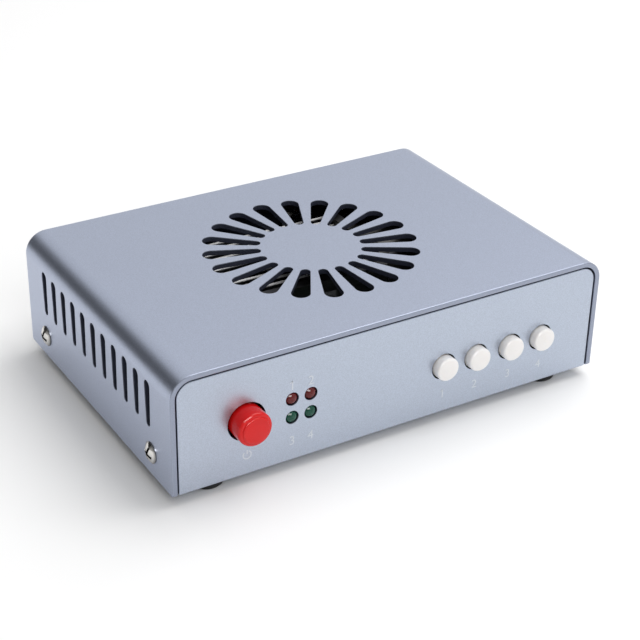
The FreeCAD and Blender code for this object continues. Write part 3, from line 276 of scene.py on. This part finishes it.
def finned_aluminium(tips, plate):
    """Drawn aluminium: painted shade on plate and between fins, painted highlight on fin tips."""
    fin_shade_dark, fin_shade_pale, tip_highlight = (0.10, 0.10, 0.11), (0.20, 0.20, 0.21), (0.95, 0.95, 0.96)
    tip_band, soft_edge = 0.5 * MM, 0.2 * MM
    metal = Surface("finned_aluminium", {})
    lines = metal.grain(DRAWN_LINES, detail=4.0, stretch=(0.05, 1, 1))
    # Painted highlight on the fin tips, for light through the grille; the darker rest is painted
    # shade.
    lit_tip = metal.steps(metal.along("Z"), tips - tip_band, tips - soft_edge)
    lit_tip = lit_tip * metal.steps(metal.along("Y"), plate - soft_edge, plate + soft_edge)
    metal.drive("Base Color", metal.tint(lit_tip, metal.tint(lines, fin_shade_dark, fin_shade_pale), tip_highlight))
    metal.drive("Metallic", 1 - lit_tip * 0.7)
    metal.drive("Roughness", lines * 0.12 + 0.38)
    metal.relief(lines, 0.01 * MM, 0.25)
    return metal.material


def clear_lens(name, colour, clear):
    """Dyed clear lens of a lamp, or glass."""
    swirl_size = 2.5 * MM
    lens = Surface(name, {"IOR": 1.50, "Transmission Weight": clear, "Specular IOR Level": 0.3})
    swirl = lens.grain(swirl_size)
    lens.drive("Base Color", lens.tint(swirl, shaded(colour, 0.85), shaded(colour, 1.1)))
    lens.drive("Roughness", swirl * 0.05 + 0.05)
    return lens.material


def circuit_board():
    """Green solder mask over copper tracks."""
    black, grey, white = (0, 0, 0, 1), (0.25, 0.25, 0.25, 1), (1, 1, 1, 1)
    weave_size = 0.7 * MM
    board = Surface("circuit_board", {"IOR": 1.5, "Coat Weight": 0.25, "Coat Roughness": 0.2})
    tracks = board.node("TexBrick", {"offset": 0.37, "squash": 0.6},
                        {"Vector": board.place(), "Scale": 260.0, "Mortar Size": 0.06,
                         "Color1": black, "Color2": grey, "Mortar": white}, 1)
    weave = board.grain(weave_size)
    mask = board.tint(weave, (0.012, 0.085, 0.035), (0.02, 0.12, 0.05))
    board.drive("Base Color", board.tint(tracks * 0.6, mask, (0.04, 0.22, 0.09)))
    board.drive("Roughness", weave * 0.15 + 0.3)
    board.relief(tracks, 0.03 * MM, 0.4)
    return board.material


def banded(name, even, axis, scale, wobble, colours, roughness, spread, depth, strength=0.4):
    """Bands across one axis: turns of tape, cores of a flat cable or edges of stacked sheets."""
    surface = Surface(name, even)
    bands = surface.node("TexWave", {"bands_direction": axis},
                         {"Vector": surface.place(), "Scale": scale, "Distortion": wobble})
    surface.drive("Base Color", surface.tint(bands, *colours))
    surface.drive("Roughness", bands * spread + roughness)
    surface.relief(bands, depth, strength)
    return surface.material


def printed_ink():
    """Pale ink, thin enough for the coat to show a little."""
    patch_size = 0.5 * MM
    ink = Surface("printed_ink", {"IOR": 1.45})
    patch = ink.grain(patch_size, detail=3.0)
    ink.drive("Base Color", ink.tint(patch, (0.56, 0.60, 0.66), (0.68, 0.72, 0.77)))
    ink.drive("Roughness", patch * 0.2 + 0.45)
    return ink.material


cover_low, cover_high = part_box("top_cover")
cover_half, cover_rim, cover_top = cover_high
cover_bend = 8.3 * MM
chassis_low, chassis_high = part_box("base_chassis")
sink_low, sink_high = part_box("heat_sink")
sink_plate = 4.2 * MM
nickel_tone = (0.76, 0.745, 0.72)

cover_coat = coated_sheet("cover_coat", (0.457, 0.504, 0.627), cover_depth, cover_rim,
                          unshaded_width=3.0 * MM, edge_shade=0.5)
# Painted light: a paler, less blue copy of the coat, for how the chassis front takes the light.
chassis_coat = coated_sheet("chassis_coat", (0.476, 0.526, 0.618), chassis_depth, -chassis_low.y,
                            unshaded_width=0.5 * MM)
nickel = plated("bright_nickel", nickel_tone, 0.17)
head_nickel = domed_nickel(nickel_tone, *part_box("cover_screws"), cover_half)
zinc = plated("bright_zinc", (0.55, 0.56, 0.58), 0.42)
brass = plated("bright_brass", (0.72, 0.53, 0.24), 0.30)
gold = plated("gold_flash", (0.83, 0.62, 0.26), 0.24)
fin_metal = finned_aluminium(sink_high.z, sink_low.y + sink_plate)
black_steel = plated("black_steel", (0.05, 0.05, 0.055), 0.45)
foot_rubber = moulded("foot_rubber", (0.012, 0.012, 0.013), 0.72, grain=0.9 * MM)
red_cap = moulded("red_cap", (0.66, 0.008, 0.008), 0.15, grain=0.5 * MM, gloss=0.35)
white_cap = moulded("white_cap", (0.86, 0.84, 0.825), 0.30, grain=0.5 * MM, coat=0.1, uneven=0.015,
                    milky=0.7)
black_plastic = moulded("black_plastic", (0.016, 0.016, 0.017), 0.45)
fan_plastic = moulded("fan_plastic", (0.013, 0.013, 0.014), 0.38)
chip_epoxy = moulded("chip_epoxy", (0.02, 0.02, 0.022), 0.6, grain=0.3 * MM)
inlet_plastic = moulded("inlet_plastic", (0.018, 0.018, 0.019), 0.5)
pale_plastic = moulded("pale_plastic", (0.70, 0.70, 0.67), 0.45)
block_green = moulded("block_green", (0.02, 0.20, 0.07), 0.42)
can_sleeve = moulded("can_sleeve", (0.01, 0.014, 0.035), 0.25, grain=0.8 * MM, coat=0.3)
pad_grey = moulded("pad_grey", (0.13, 0.135, 0.145), 0.65)
wire_brown = moulded("wire_brown", (0.16, 0.05, 0.02), 0.42)
wire_green = moulded("wire_green", (0.20, 0.36, 0.03), 0.42)
fuse_glass = clear_lens("fuse_glass", (0.85, 0.88, 0.86), 0.8)
red_lens = clear_lens("red_lens", (0.16, 0.012, 0.012), 0.30)
green_lens = clear_lens("green_lens", (0.008, 0.095, 0.06), 0.30)
board_green = circuit_board()
tape_yellow = banded("wound_tape", {"IOR": 1.5}, "Z", scale=160.0, wobble=0.6,
                     colours=((0.42, 0.25, 0.03), (0.66, 0.45, 0.06)),
                     roughness=0.35, spread=0.2, depth=0.1 * MM)
ribbon_grey = banded("flat_cable", {"IOR": 1.5}, "X", scale=125.0, wobble=0.0,
                     colours=((0.20, 0.20, 0.21), (0.42, 0.42, 0.43)),
                     roughness=0.4, spread=0.1, depth=0.2 * MM, strength=0.6)
core_steel = banded("stacked_steel", {"Metallic": 0.8}, "X", scale=320.0, wobble=0.4,
                    colours=((0.10, 0.10, 0.11), (0.30, 0.30, 0.31)),
                    roughness=0.4, spread=0.15, depth=0.1 * MM)
pale_ink = printed_ink()

finishes = {
    cover_coat: ["top_cover"],
    chassis_coat: ["base_chassis"],
    head_nickel: ["cover_screws"],
    nickel: ["inlet_pins", "inlet_screws", "socket_shells", "socket_nuts"],
    zinc: ["foot_screws", "bottom_screws", "board_screws", "switch_screws", "triac_screws",
           "earth_screw", "switch_bracket", "transformer_strap", "fan_shaft"],
    black_steel: ["fan_screws"],
    brass: ["board_standoffs", "fuse_clips", "earth_lug"],
    gold: ["socket_pins"],
    fin_metal: ["heat_sink"],
    foot_rubber: ["rubber_feet"],
    red_cap: ["power_cap"],
    white_cap: KEY_CAPS,
    black_plastic: ["key_switches", "power_switch", *KEY_PLUNGERS],
    fan_plastic: ["fan_frame", "fan_rotor"],
    chip_epoxy: ["microcontroller", "optocouplers", "rectifier", "triacs"],
    inlet_plastic: ["mains_inlet", "socket_inserts"],
    pale_plastic: ["power_plunger"],
    block_green: ["terminal_blocks"],
    can_sleeve: ["capacitors"],
    pad_grey: ["triac_pads"],
    wire_brown: ["mains_wires", "output_wires"],
    wire_green: ["earth_wire"],
    fuse_glass: ["board_fuse"],
    red_lens: ["red_lamps"],
    green_lens: ["green_lamps"],
    board_green: ["front_board", "main_board"],
    tape_yellow: ["transformer_winding"],
    ribbon_grey: ["ribbon_cable"],
    core_steel: ["transformer_core", "fan_stator"],
}
for material, names in finishes.items():
    for name in names:
        nodes[name].data.materials.clear()
        nodes[name].data.materials.append(material)

NEAR = 0.01 * MM            # places that differ by less are the same
SQUARE_ON = 0.9             # directions that agree by more are the same
QUARTER_TURN = math.pi / 2
TO_REAR = (-QUARTER_TURN, 0, 0)
TO_FRONT = (QUARTER_TURN, 0, 0)
DOWN = (math.pi, 0, 0)


def deselect():
    if bpy.context.object and bpy.context.object.mode != "OBJECT":
        bpy.ops.object.mode_set(mode="OBJECT")
    bpy.ops.object.select_all(action="DESELECT")


def finish_piece(piece, material, body="case"):
    """Puts the piece's place into its mesh, gives it its finish and lets it ride."""
    deselect()
    piece.select_set(True)
    bpy.context.view_layer.objects.active = piece
    bpy.ops.object.transform_apply(location=True, rotation=True, scale=True)
    piece.data.materials.clear()
    piece.data.materials.append(material)
    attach(piece, body)
    return piece


def pick(piece, test):
    """Into edit mode with just the faces whose middle and direction pass a test."""
    bpy.ops.object.mode_set(mode="EDIT")
    bpy.ops.mesh.select_mode(type="FACE")
    bpy.ops.mesh.select_all(action="DESELECT")
    bpy.ops.object.mode_set(mode="OBJECT")
    for face in piece.data.polygons:
        face.select = test(face.center, face.normal)
    bpy.ops.object.mode_set(mode="EDIT")


def draw_out(height):
    """Extrudes the picked faces along Z."""
    bpy.ops.mesh.extrude_region_move(TRANSFORM_OT_translate={"value": (0, 0, height)})


def round_bar(sides, radius, low, high):
    """Straight round start of a turned piece, standing on Z at the origin."""
    deselect()
    bpy.ops.mesh.primitive_cylinder_add(vertices=sides, radius=radius, depth=high - low,
                                        location=(0, 0, (low + high) / 2))
    bpy.ops.object.transform_apply(location=True)
    return bpy.context.object


def above(level):
    return lambda middle, facing: facing.z > SQUARE_ON and middle.z > level - NEAR


def below(level):
    return lambda middle, facing: facing.z < -SQUARE_ON and middle.z < level + NEAR


def on_axis(middle, facing):
    return math.hypot(middle.x, middle.y) < NEAR and abs(facing.z) > SQUARE_ON


def apply_modifier(piece, kind, **settings):
    bpy.ops.object.mode_set(mode="OBJECT")
    added = piece.modifiers.new(kind.lower(), kind)
    for label, value in settings.items():
        setattr(added, label, value)
    bpy.context.view_layer.objects.active = piece
    bpy.ops.object.modifier_apply(modifier=added.name)


def cut_away(piece, tool):
    """Cuts the tool's shape out of the piece; the tool itself goes."""
    apply_modifier(piece, "BOOLEAN", operation="DIFFERENCE", solver="EXACT", object=tool)
    bpy.data.objects.remove(tool)


def join(name, pieces):
    deselect()
    for piece in pieces:
        piece.select_set(True)
    bpy.context.view_layer.objects.active = pieces[0]
    bpy.ops.object.transform_apply(location=True, rotation=True, scale=True)
    bpy.ops.object.join()
    bpy.context.object.name = name
    return bpy.context.object


def set_out(model, name, places, turn):
    """Copies of a modelled piece at several places as one piece; the model itself goes."""
    copies = []
    for place in places:
        deselect()
        model.select_set(True)
        bpy.context.view_layer.objects.active = model
        bpy.ops.object.duplicate()
        copies.append(bpy.context.object)
        copies[-1].location = place
        copies[-1].rotation_euler = turn
    bpy.data.objects.remove(model)
    return join(name, copies)


def smooth(piece, degrees=35):
    deselect()
    piece.select_set(True)
    bpy.context.view_layer.objects.active = piece
    bpy.ops.object.shade_smooth_by_angle(angle=math.radians(degrees))
    return piece


def cross_head_screw(length):
    """Small round-headed screw with a cross recess, seat at the origin."""
    head, height, shank, dome = 2.75 * MM, 2.0 * MM, 1.45 * MM, 1.3 * MM
    arm = (3.2 * MM, 0.7 * MM, 2.2 * MM)
    arm_taper = (0.45, 0.8, 1)
    screw = round_bar(sides=32, radius=head, low=0, high=height)
    pick(screw, below(0))
    bpy.ops.mesh.inset(thickness=head - shank)
    draw_out(-length)
    pick(screw, above(height))
    bpy.ops.mesh.bevel(offset=dome, segments=5, profile=0.55)
    bpy.ops.object.mode_set(mode="OBJECT")
    for turn in (0, QUARTER_TURN):
        deselect()
        bpy.ops.mesh.primitive_cube_add(size=1, location=(0, 0, height), rotation=(0, 0, turn),
                                        scale=arm)
        bit = bpy.context.object
        pick(bit, lambda middle, facing: facing.z < -SQUARE_ON)
        bpy.ops.transform.resize(value=arm_taper)
        cut_away(screw, bit)
    return smooth(screw)


# Seats and lengths of the screws, in millimetres.
underside = 4.5
inlet_seats = [(x, 64.7, 26.5) for x in (-81.35, -41.35)]
foot_seats = [(x, y, 2.4) for x in (-72.5, 72.5) for y in (-52.0, 52.0)]
board_seats = [(x, y, underside) for x in (-38.0, 16.0) for y in (-7.0, 25.0)]
bracket_seats = [(x, -33.0, underside) for x in (-66.35, -56.35)]
strap_seats = [(67.0, y, underside) for y in (-8.0, 38.0)]
screw_sets = {
    "inlet_screws": (TO_REAR, nickel, "nickel", 6.0, inlet_seats),
    "foot_screws": (DOWN, zinc, "zinc", 5.1, foot_seats),
    "bottom_screws": (DOWN, zinc, "zinc", 6.0, board_seats + bracket_seats + strap_seats),
}
for node, (turn, metal, metal_slot, length, seats) in screw_sets.items():
    seats = [Vector(seat) * MM for seat in seats]
    screws = set_out(cross_head_screw(length * MM), "cross_head_" + node, seats, turn)
    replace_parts(finish_piece(screws, metal), node)


def threaded_shell():
    """Round socket shell on the panel's face: flange, threaded neck, bore and tail."""
    flange, neck, tail, bore = 9.5 * MM, 7.45 * MM, 7.9 * MM, 6.7 * MM
    thick, reach, deep, broken_edge = 1.5 * MM, 7.1 * MM, -9.0 * MM, 0.22 * MM
    ridge, ridge_stand, first_turn, pitch = 0.36 * MM, 0.17 * MM, 2.35 * MM, 1.0 * MM
    turns, turn_steps = 4, 48
    shell = round_bar(sides=64, radius=flange, low=0, high=thick)
    pick(shell, above(thick))
    bpy.ops.mesh.inset(thickness=flange - neck)
    draw_out(reach - thick)
    bpy.ops.mesh.inset(thickness=neck - bore)
    pick(shell, below(0))
    bpy.ops.mesh.inset(thickness=flange - tail)
    draw_out(deep)
    bpy.ops.mesh.inset(thickness=tail - bore)
    pick(shell, on_axis)
    bpy.ops.mesh.bridge_edge_loops()
    apply_modifier(shell, "BEVEL", width=broken_edge, segments=2, angle_limit=math.radians(40))
    deselect()
    bpy.ops.mesh.primitive_circle_add(vertices=3, radius=ridge,
                                      location=(neck + ridge_stand, 0, first_turn),
                                      rotation=(QUARTER_TURN, QUARTER_TURN, 0))
    thread = bpy.context.object
    bpy.ops.object.transform_apply(location=True, rotation=True)
    apply_modifier(thread, "SCREW", axis="Z", screw_offset=pitch, iterations=turns,
                   steps=turn_steps, render_steps=turn_steps)
    bpy.ops.object.mode_set(mode="EDIT")
    bpy.ops.mesh.select_mode(type="EDGE")
    bpy.ops.mesh.select_all(action="DESELECT")
    bpy.ops.mesh.select_non_manifold()
    bpy.ops.mesh.fill_holes(sides=4)
    bpy.ops.mesh.select_all(action="SELECT")
    bpy.ops.mesh.normals_make_consistent(inside=False)
    bpy.ops.object.mode_set(mode="OBJECT")
    return smooth(join("threaded_shell", [shell, thread]), degrees=30)


inserts_low, inserts_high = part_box("socket_inserts")
insert_radius = (inserts_high.z - inserts_low.z) / 2
socket_level = (inserts_high.z + inserts_low.z) / 2
socket_ends = (inserts_low.x + insert_radius, inserts_high.x - insert_radius)
socket_columns = (*socket_ends, sum(socket_ends) / 2)
socket_places = [(x, chassis_high.y, socket_level) for x in socket_columns]
shells = set_out(threaded_shell(), "threaded_socket_shells", socket_places, TO_REAR)
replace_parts(finish_piece(shells, nickel), "socket_shells")


def stepped_cap(radius, length):
    """Turned push cap: round shoulder, step with a round edge, flat face; square socket behind."""
    shoulder, step, ledge, edge = 1.15 * MM, 0.55 * MM, 0.25 * MM, 0.50 * MM
    socket_middle, socket = (0, 0, 3.9 * MM), (5.1 * MM, 5.1 * MM, 8.2 * MM)
    cap = round_bar(sides=96, radius=radius, low=0, high=length - step)

    def front(middle, facing):
        return on_axis(middle, facing) and facing.z > 0

    pick(cap, front)
    bpy.ops.mesh.bevel(offset=shoulder, segments=8, profile=0.5)
    pick(cap, front)
    bpy.ops.mesh.inset(thickness=ledge)
    draw_out(step)
    pick(cap, front)
    bpy.ops.mesh.bevel(offset=edge, segments=5, profile=0.5)
    bpy.ops.object.mode_set(mode="OBJECT")
    deselect()
    bpy.ops.mesh.primitive_cube_add(size=1, location=socket_middle, scale=socket)
    cut_away(cap, bpy.context.object)
    return smooth(cap)


cap_low, cap_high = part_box("power_cap")
cap_middle = (cap_low + cap_high) / 2
cap = stepped_cap((cap_high.x - cap_low.x) / 2, cap_high.y - cap_low.y)
cap = set_out(cap, "stepped_power_cap", [(cap_middle.x, cap_high.y, cap_middle.z)], TO_FRONT)
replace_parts(finish_piece(cap, red_cap, "power_button"), "power_cap")


def lamp_frame():
    """Metal inside a lamp: a post with a cup, and a thinner post beside it."""
    cup_radius, cup_wall, cup_floor, cup_rim = 0.85 * MM, 0.18 * MM, 4.2 * MM, 5.4 * MM
    cup_depth, cup_taper, stem_inset, stem_length = 0.55 * MM, 0.55, 0.45 * MM, 4.0 * MM
    post_radius, post_foot, post_top, post_aside = 0.28 * MM, 0.2 * MM, 4.4 * MM, 1.25 * MM
    blade, blade_shape = 0.5 * MM, (0.4, 1.6, 1)
    cup = round_bar(sides=20, radius=cup_radius, low=cup_floor, high=cup_rim)
    pick(cup, above(cup_rim))
    bpy.ops.mesh.inset(thickness=cup_wall)
    draw_out(-cup_depth)
    bpy.ops.transform.resize(value=(cup_taper, cup_taper, 1))
    pick(cup, below(cup_floor))
    bpy.ops.mesh.inset(thickness=stem_inset)
    draw_out(-stem_length)
    post = round_bar(sides=8, radius=post_radius, low=post_foot, high=post_top)
    pick(post, above(post_top))
    draw_out(blade)
    bpy.ops.transform.resize(value=blade_shape)
    bpy.ops.object.mode_set(mode="OBJECT")
    post.location = (-post_aside, 0, 0)
    return smooth(join("lamp_frame", [cup, post]))


lamp_half = 2.9 * MM
lamps_low, lamps_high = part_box("red_lamps")
lamp_columns = [lamps_low.x + lamp_half, lamps_high.x - lamp_half]
for row in ("red_lamps", "green_lamps"):
    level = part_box(row)[0].z + lamp_half
    places = [(x, lamps_high.y, level) for x in lamp_columns]
    frames = set_out(lamp_frame(), "frames_of_" + row, places, TO_FRONT)
    finish_piece(frames, nickel)

panel = chassis_low.y
ink_depth = 0.03 * MM
figure_share = 0.69         # height of a figure, as a share of its type size


def printed_number(name, figure, x, height, tall):
    """One plain figure printed on the front panel, centred at x, above the cover's lower edge."""
    deselect()
    bpy.ops.object.text_add(location=(x, panel - ink_depth, cover_low.z + height),
                            rotation=TO_FRONT)
    text = bpy.context.object
    text.name = name
    text.data.body = figure
    text.data.align_x = "CENTER"
    text.data.size = tall / figure_share
    text.data.extrude = ink_depth
    bpy.ops.object.convert(target="MESH")
    if figure == "1":
        add_flag(bpy.context.object, tall)
    finish_piece(bpy.context.object, pale_ink)


def add_flag(figure, tall):
    """Slanting stroke at the head of a one, so that it reads as a figure."""
    stroke, slant, head = (0.11 * tall, 0.36 * tall, 1), 50, (-0.13 * tall, 0.86 * tall, 0)
    under = (0, 0, -ink_depth)
    turn, place = figure.rotation_euler.copy(), figure.location.copy()
    figure.rotation_euler, figure.location = (0, 0, 0), (0, 0, 0)
    bpy.ops.object.mode_set(mode="EDIT")
    bpy.ops.mesh.select_all(action="DESELECT")
    bpy.ops.mesh.primitive_plane_add(size=1, location=under)
    bpy.ops.transform.resize(value=stroke, center_override=under)
    bpy.ops.transform.rotate(value=math.radians(slant), orient_axis="Z", center_override=(0, 0, 0))
    bpy.ops.transform.translate(value=head)
    draw_out(2 * ink_depth)
    bpy.ops.mesh.select_linked()
    bpy.ops.mesh.normals_make_consistent(inside=False)
    bpy.ops.object.mode_set(mode="OBJECT")
    figure.rotation_euler, figure.location = turn, place


def power_sign(x, height, radius, stroke):
    """Broken ring with a bar, printed below the large button."""
    ring, ring_start = 290, -55
    bar, bar_middle = 1.1 * radius, 0.75 * radius
    deselect()
    bpy.ops.mesh.primitive_plane_add(size=stroke, location=(radius, 0, 0))
    sign = bpy.context.object
    sign.name = "power_sign"
    bpy.ops.object.transform_apply(location=True)
    bpy.ops.object.mode_set(mode="EDIT")
    bpy.ops.mesh.select_mode(type="VERT")
    bpy.ops.mesh.select_all(action="DESELECT")
    bpy.ops.object.mode_set(mode="OBJECT")
    for corner in sign.data.vertices:
        corner.select = corner.co.y < 0
    bpy.ops.object.mode_set(mode="EDIT")
    bpy.ops.mesh.delete(type="VERT")
    bpy.ops.mesh.select_all(action="SELECT")
    bpy.ops.mesh.spin(steps=32, angle=math.radians(ring), center=(0, 0, 0), axis=(0, 0, 1))
    bpy.ops.mesh.select_all(action="SELECT")
    bpy.ops.transform.rotate(value=math.radians(ring_start), orient_axis="Z",
                             center_override=(0, 0, 0))
    bpy.ops.mesh.primitive_plane_add(size=1, location=(0, 0, 0))
    bpy.ops.transform.resize(value=(stroke, bar, 1), center_override=(0, 0, 0))
    bpy.ops.transform.translate(value=(0, bar_middle, 0))
    bpy.ops.mesh.select_all(action="SELECT")
    bpy.ops.mesh.normals_make_consistent(inside=False)
    draw_out(2 * ink_depth)
    bpy.ops.mesh.select_all(action="SELECT")
    bpy.ops.mesh.normals_make_consistent(inside=False)
    bpy.ops.object.mode_set(mode="OBJECT")
    sign.rotation_euler = TO_FRONT
    sign.location = (x, panel + ink_depth, cover_low.z + height)
    finish_piece(sign, pale_ink)


key_figure_height, key_figure_tall = 6.2 * MM, 3.4 * MM
lamp_figure_rows = (("upper", 0, 28.8 * MM), ("lower", 2, 6.4 * MM))
lamp_figure_tall = 3.5 * MM
sign_height, sign_radius, sign_stroke = 8.0 * MM, 1.55 * MM, 0.5 * MM
for key, node in zip(KEYS, KEY_CAPS):
    key_low, key_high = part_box(node)
    printed_number("key_figure_%d" % key, str(key), (key_low.x + key_high.x) / 2,
                   key_figure_height, key_figure_tall)
for column, x in enumerate(lamp_columns, start=1):
    for row, before, height in lamp_figure_rows:
        printed_number("%s_lamp_figure_%d" % (row, column), str(before + column), x, height,
                       lamp_figure_tall)
power_sign(cap_middle.x, sign_height, sign_radius, sign_stroke)

floor_size, floor_patches = 12, 0.4
floor_white = Surface("floor_white", {"Roughness": 0.9, "Specular IOR Level": 0.1})
floor_white.drive("Base Color", floor_white.tint(floor_white.grain(floor_patches),
                                                 (0.94, 0.94, 0.94), (0.97, 0.97, 0.97)))
deselect()
bpy.ops.mesh.primitive_plane_add(size=floor_size, location=(0, 0, 0))
floor = bpy.context.object
floor.name = "floor"
floor.data.materials.append(floor_white.material)


def soft_light(name, place, size, power, lights_up=True, mirrored=True):
    """Panel of light aimed at the part; it can be only mirrored, or only light up."""
    lamp = bpy.data.lights.new(name, "AREA")
    lamp.shape = "RECTANGLE"
    lamp.size, lamp.size_y = size
    lamp.energy = power
    holder = bpy.data.objects.new(name, lamp)
    holder.location = place
    holder.rotation_mode = "QUATERNION"
    holder.rotation_quaternion = Vector(place).to_track_quat("Z", "Y")
    holder.visible_diffuse = lights_up
    holder.visible_glossy = mirrored
    bpy.context.scene.collection.objects.link(holder)
    return holder


soft_light("overhead", place=(0.6, 0.0, 1.2), size=(1.2, 1.0), power=10)
soft_light("front", place=(-0.25, -1.15, 1.0), size=(0.8, 0.5), power=3.2, mirrored=False)
gleam = soft_light("gleam", place=(-0.45, -0.85, 0.82), size=(1.2, 0.5), power=24, lights_up=False)
gleaming = bpy.data.collections.new("gleaming")
gleam.light_linking.receiver_collection = gleaming
gleaming.objects.link(cap)
for name in (*KEY_CAPS, "red_lamps", "green_lamps", "cover_screws"):
    gleaming.objects.link(nodes[name])

world = bpy.data.worlds.new("studio")
bpy.context.scene.world = world
sky = Finish(world, "Background", {"Strength": 0.75})


def towards(*direction):
    """How nearly the sky's direction agrees with this one, from -1 to 1."""
    outward = sky.node("TexCoord", output="Generated")
    return sky.node("VectorMath", {"operation": "DOT_PRODUCT"},
                    {0: outward, 1: Vector(direction).normalized()}, "Value")


# The sky is dim on the left and has a dark patch behind, except where the camera looks at it.
white, black, near_black = (1, 1, 1), (0, 0, 0), (0.02, 0.02, 0.02)
unseen = 1 - sky.node("LightPath", output="Is Camera Ray")
left_shade = sky.steps(towards(-1, 0, 0), 0.0, 0.7) * unseen * 0.45
back_shade = sky.steps(towards(-0.59, 0.72, 0.245), 0.805, 0.975) * unseen
sky.drive("Color", sky.tint(back_shade, sky.tint(left_shade, white, black), near_black))

camera = bpy.data.cameras.new("photo_angle")
camera.lens = 89.15
camera.sensor_width = 36
camera.clip_start = 0.01
viewer = bpy.data.objects.new("photo_angle", camera)
viewer.location = (-0.2768, -0.4589, 0.3179)
azimuth, elevation, roll = (math.radians(angle) for angle in (-31.53, 29.18, 1.09))
back = Vector((math.sin(azimuth) * math.cos(elevation), -math.cos(azimuth) * math.cos(elevation),
               math.sin(elevation)))
viewer.rotation_mode = "QUATERNION"
viewer.rotation_quaternion = back.to_track_quat("Z", "Y") @ Quaternion((0, 0, 1), roll)
bpy.context.scene.collection.objects.link(viewer)
bpy.context.scene.camera = viewer
bpy.context.scene.view_settings.view_transform = "Standard"
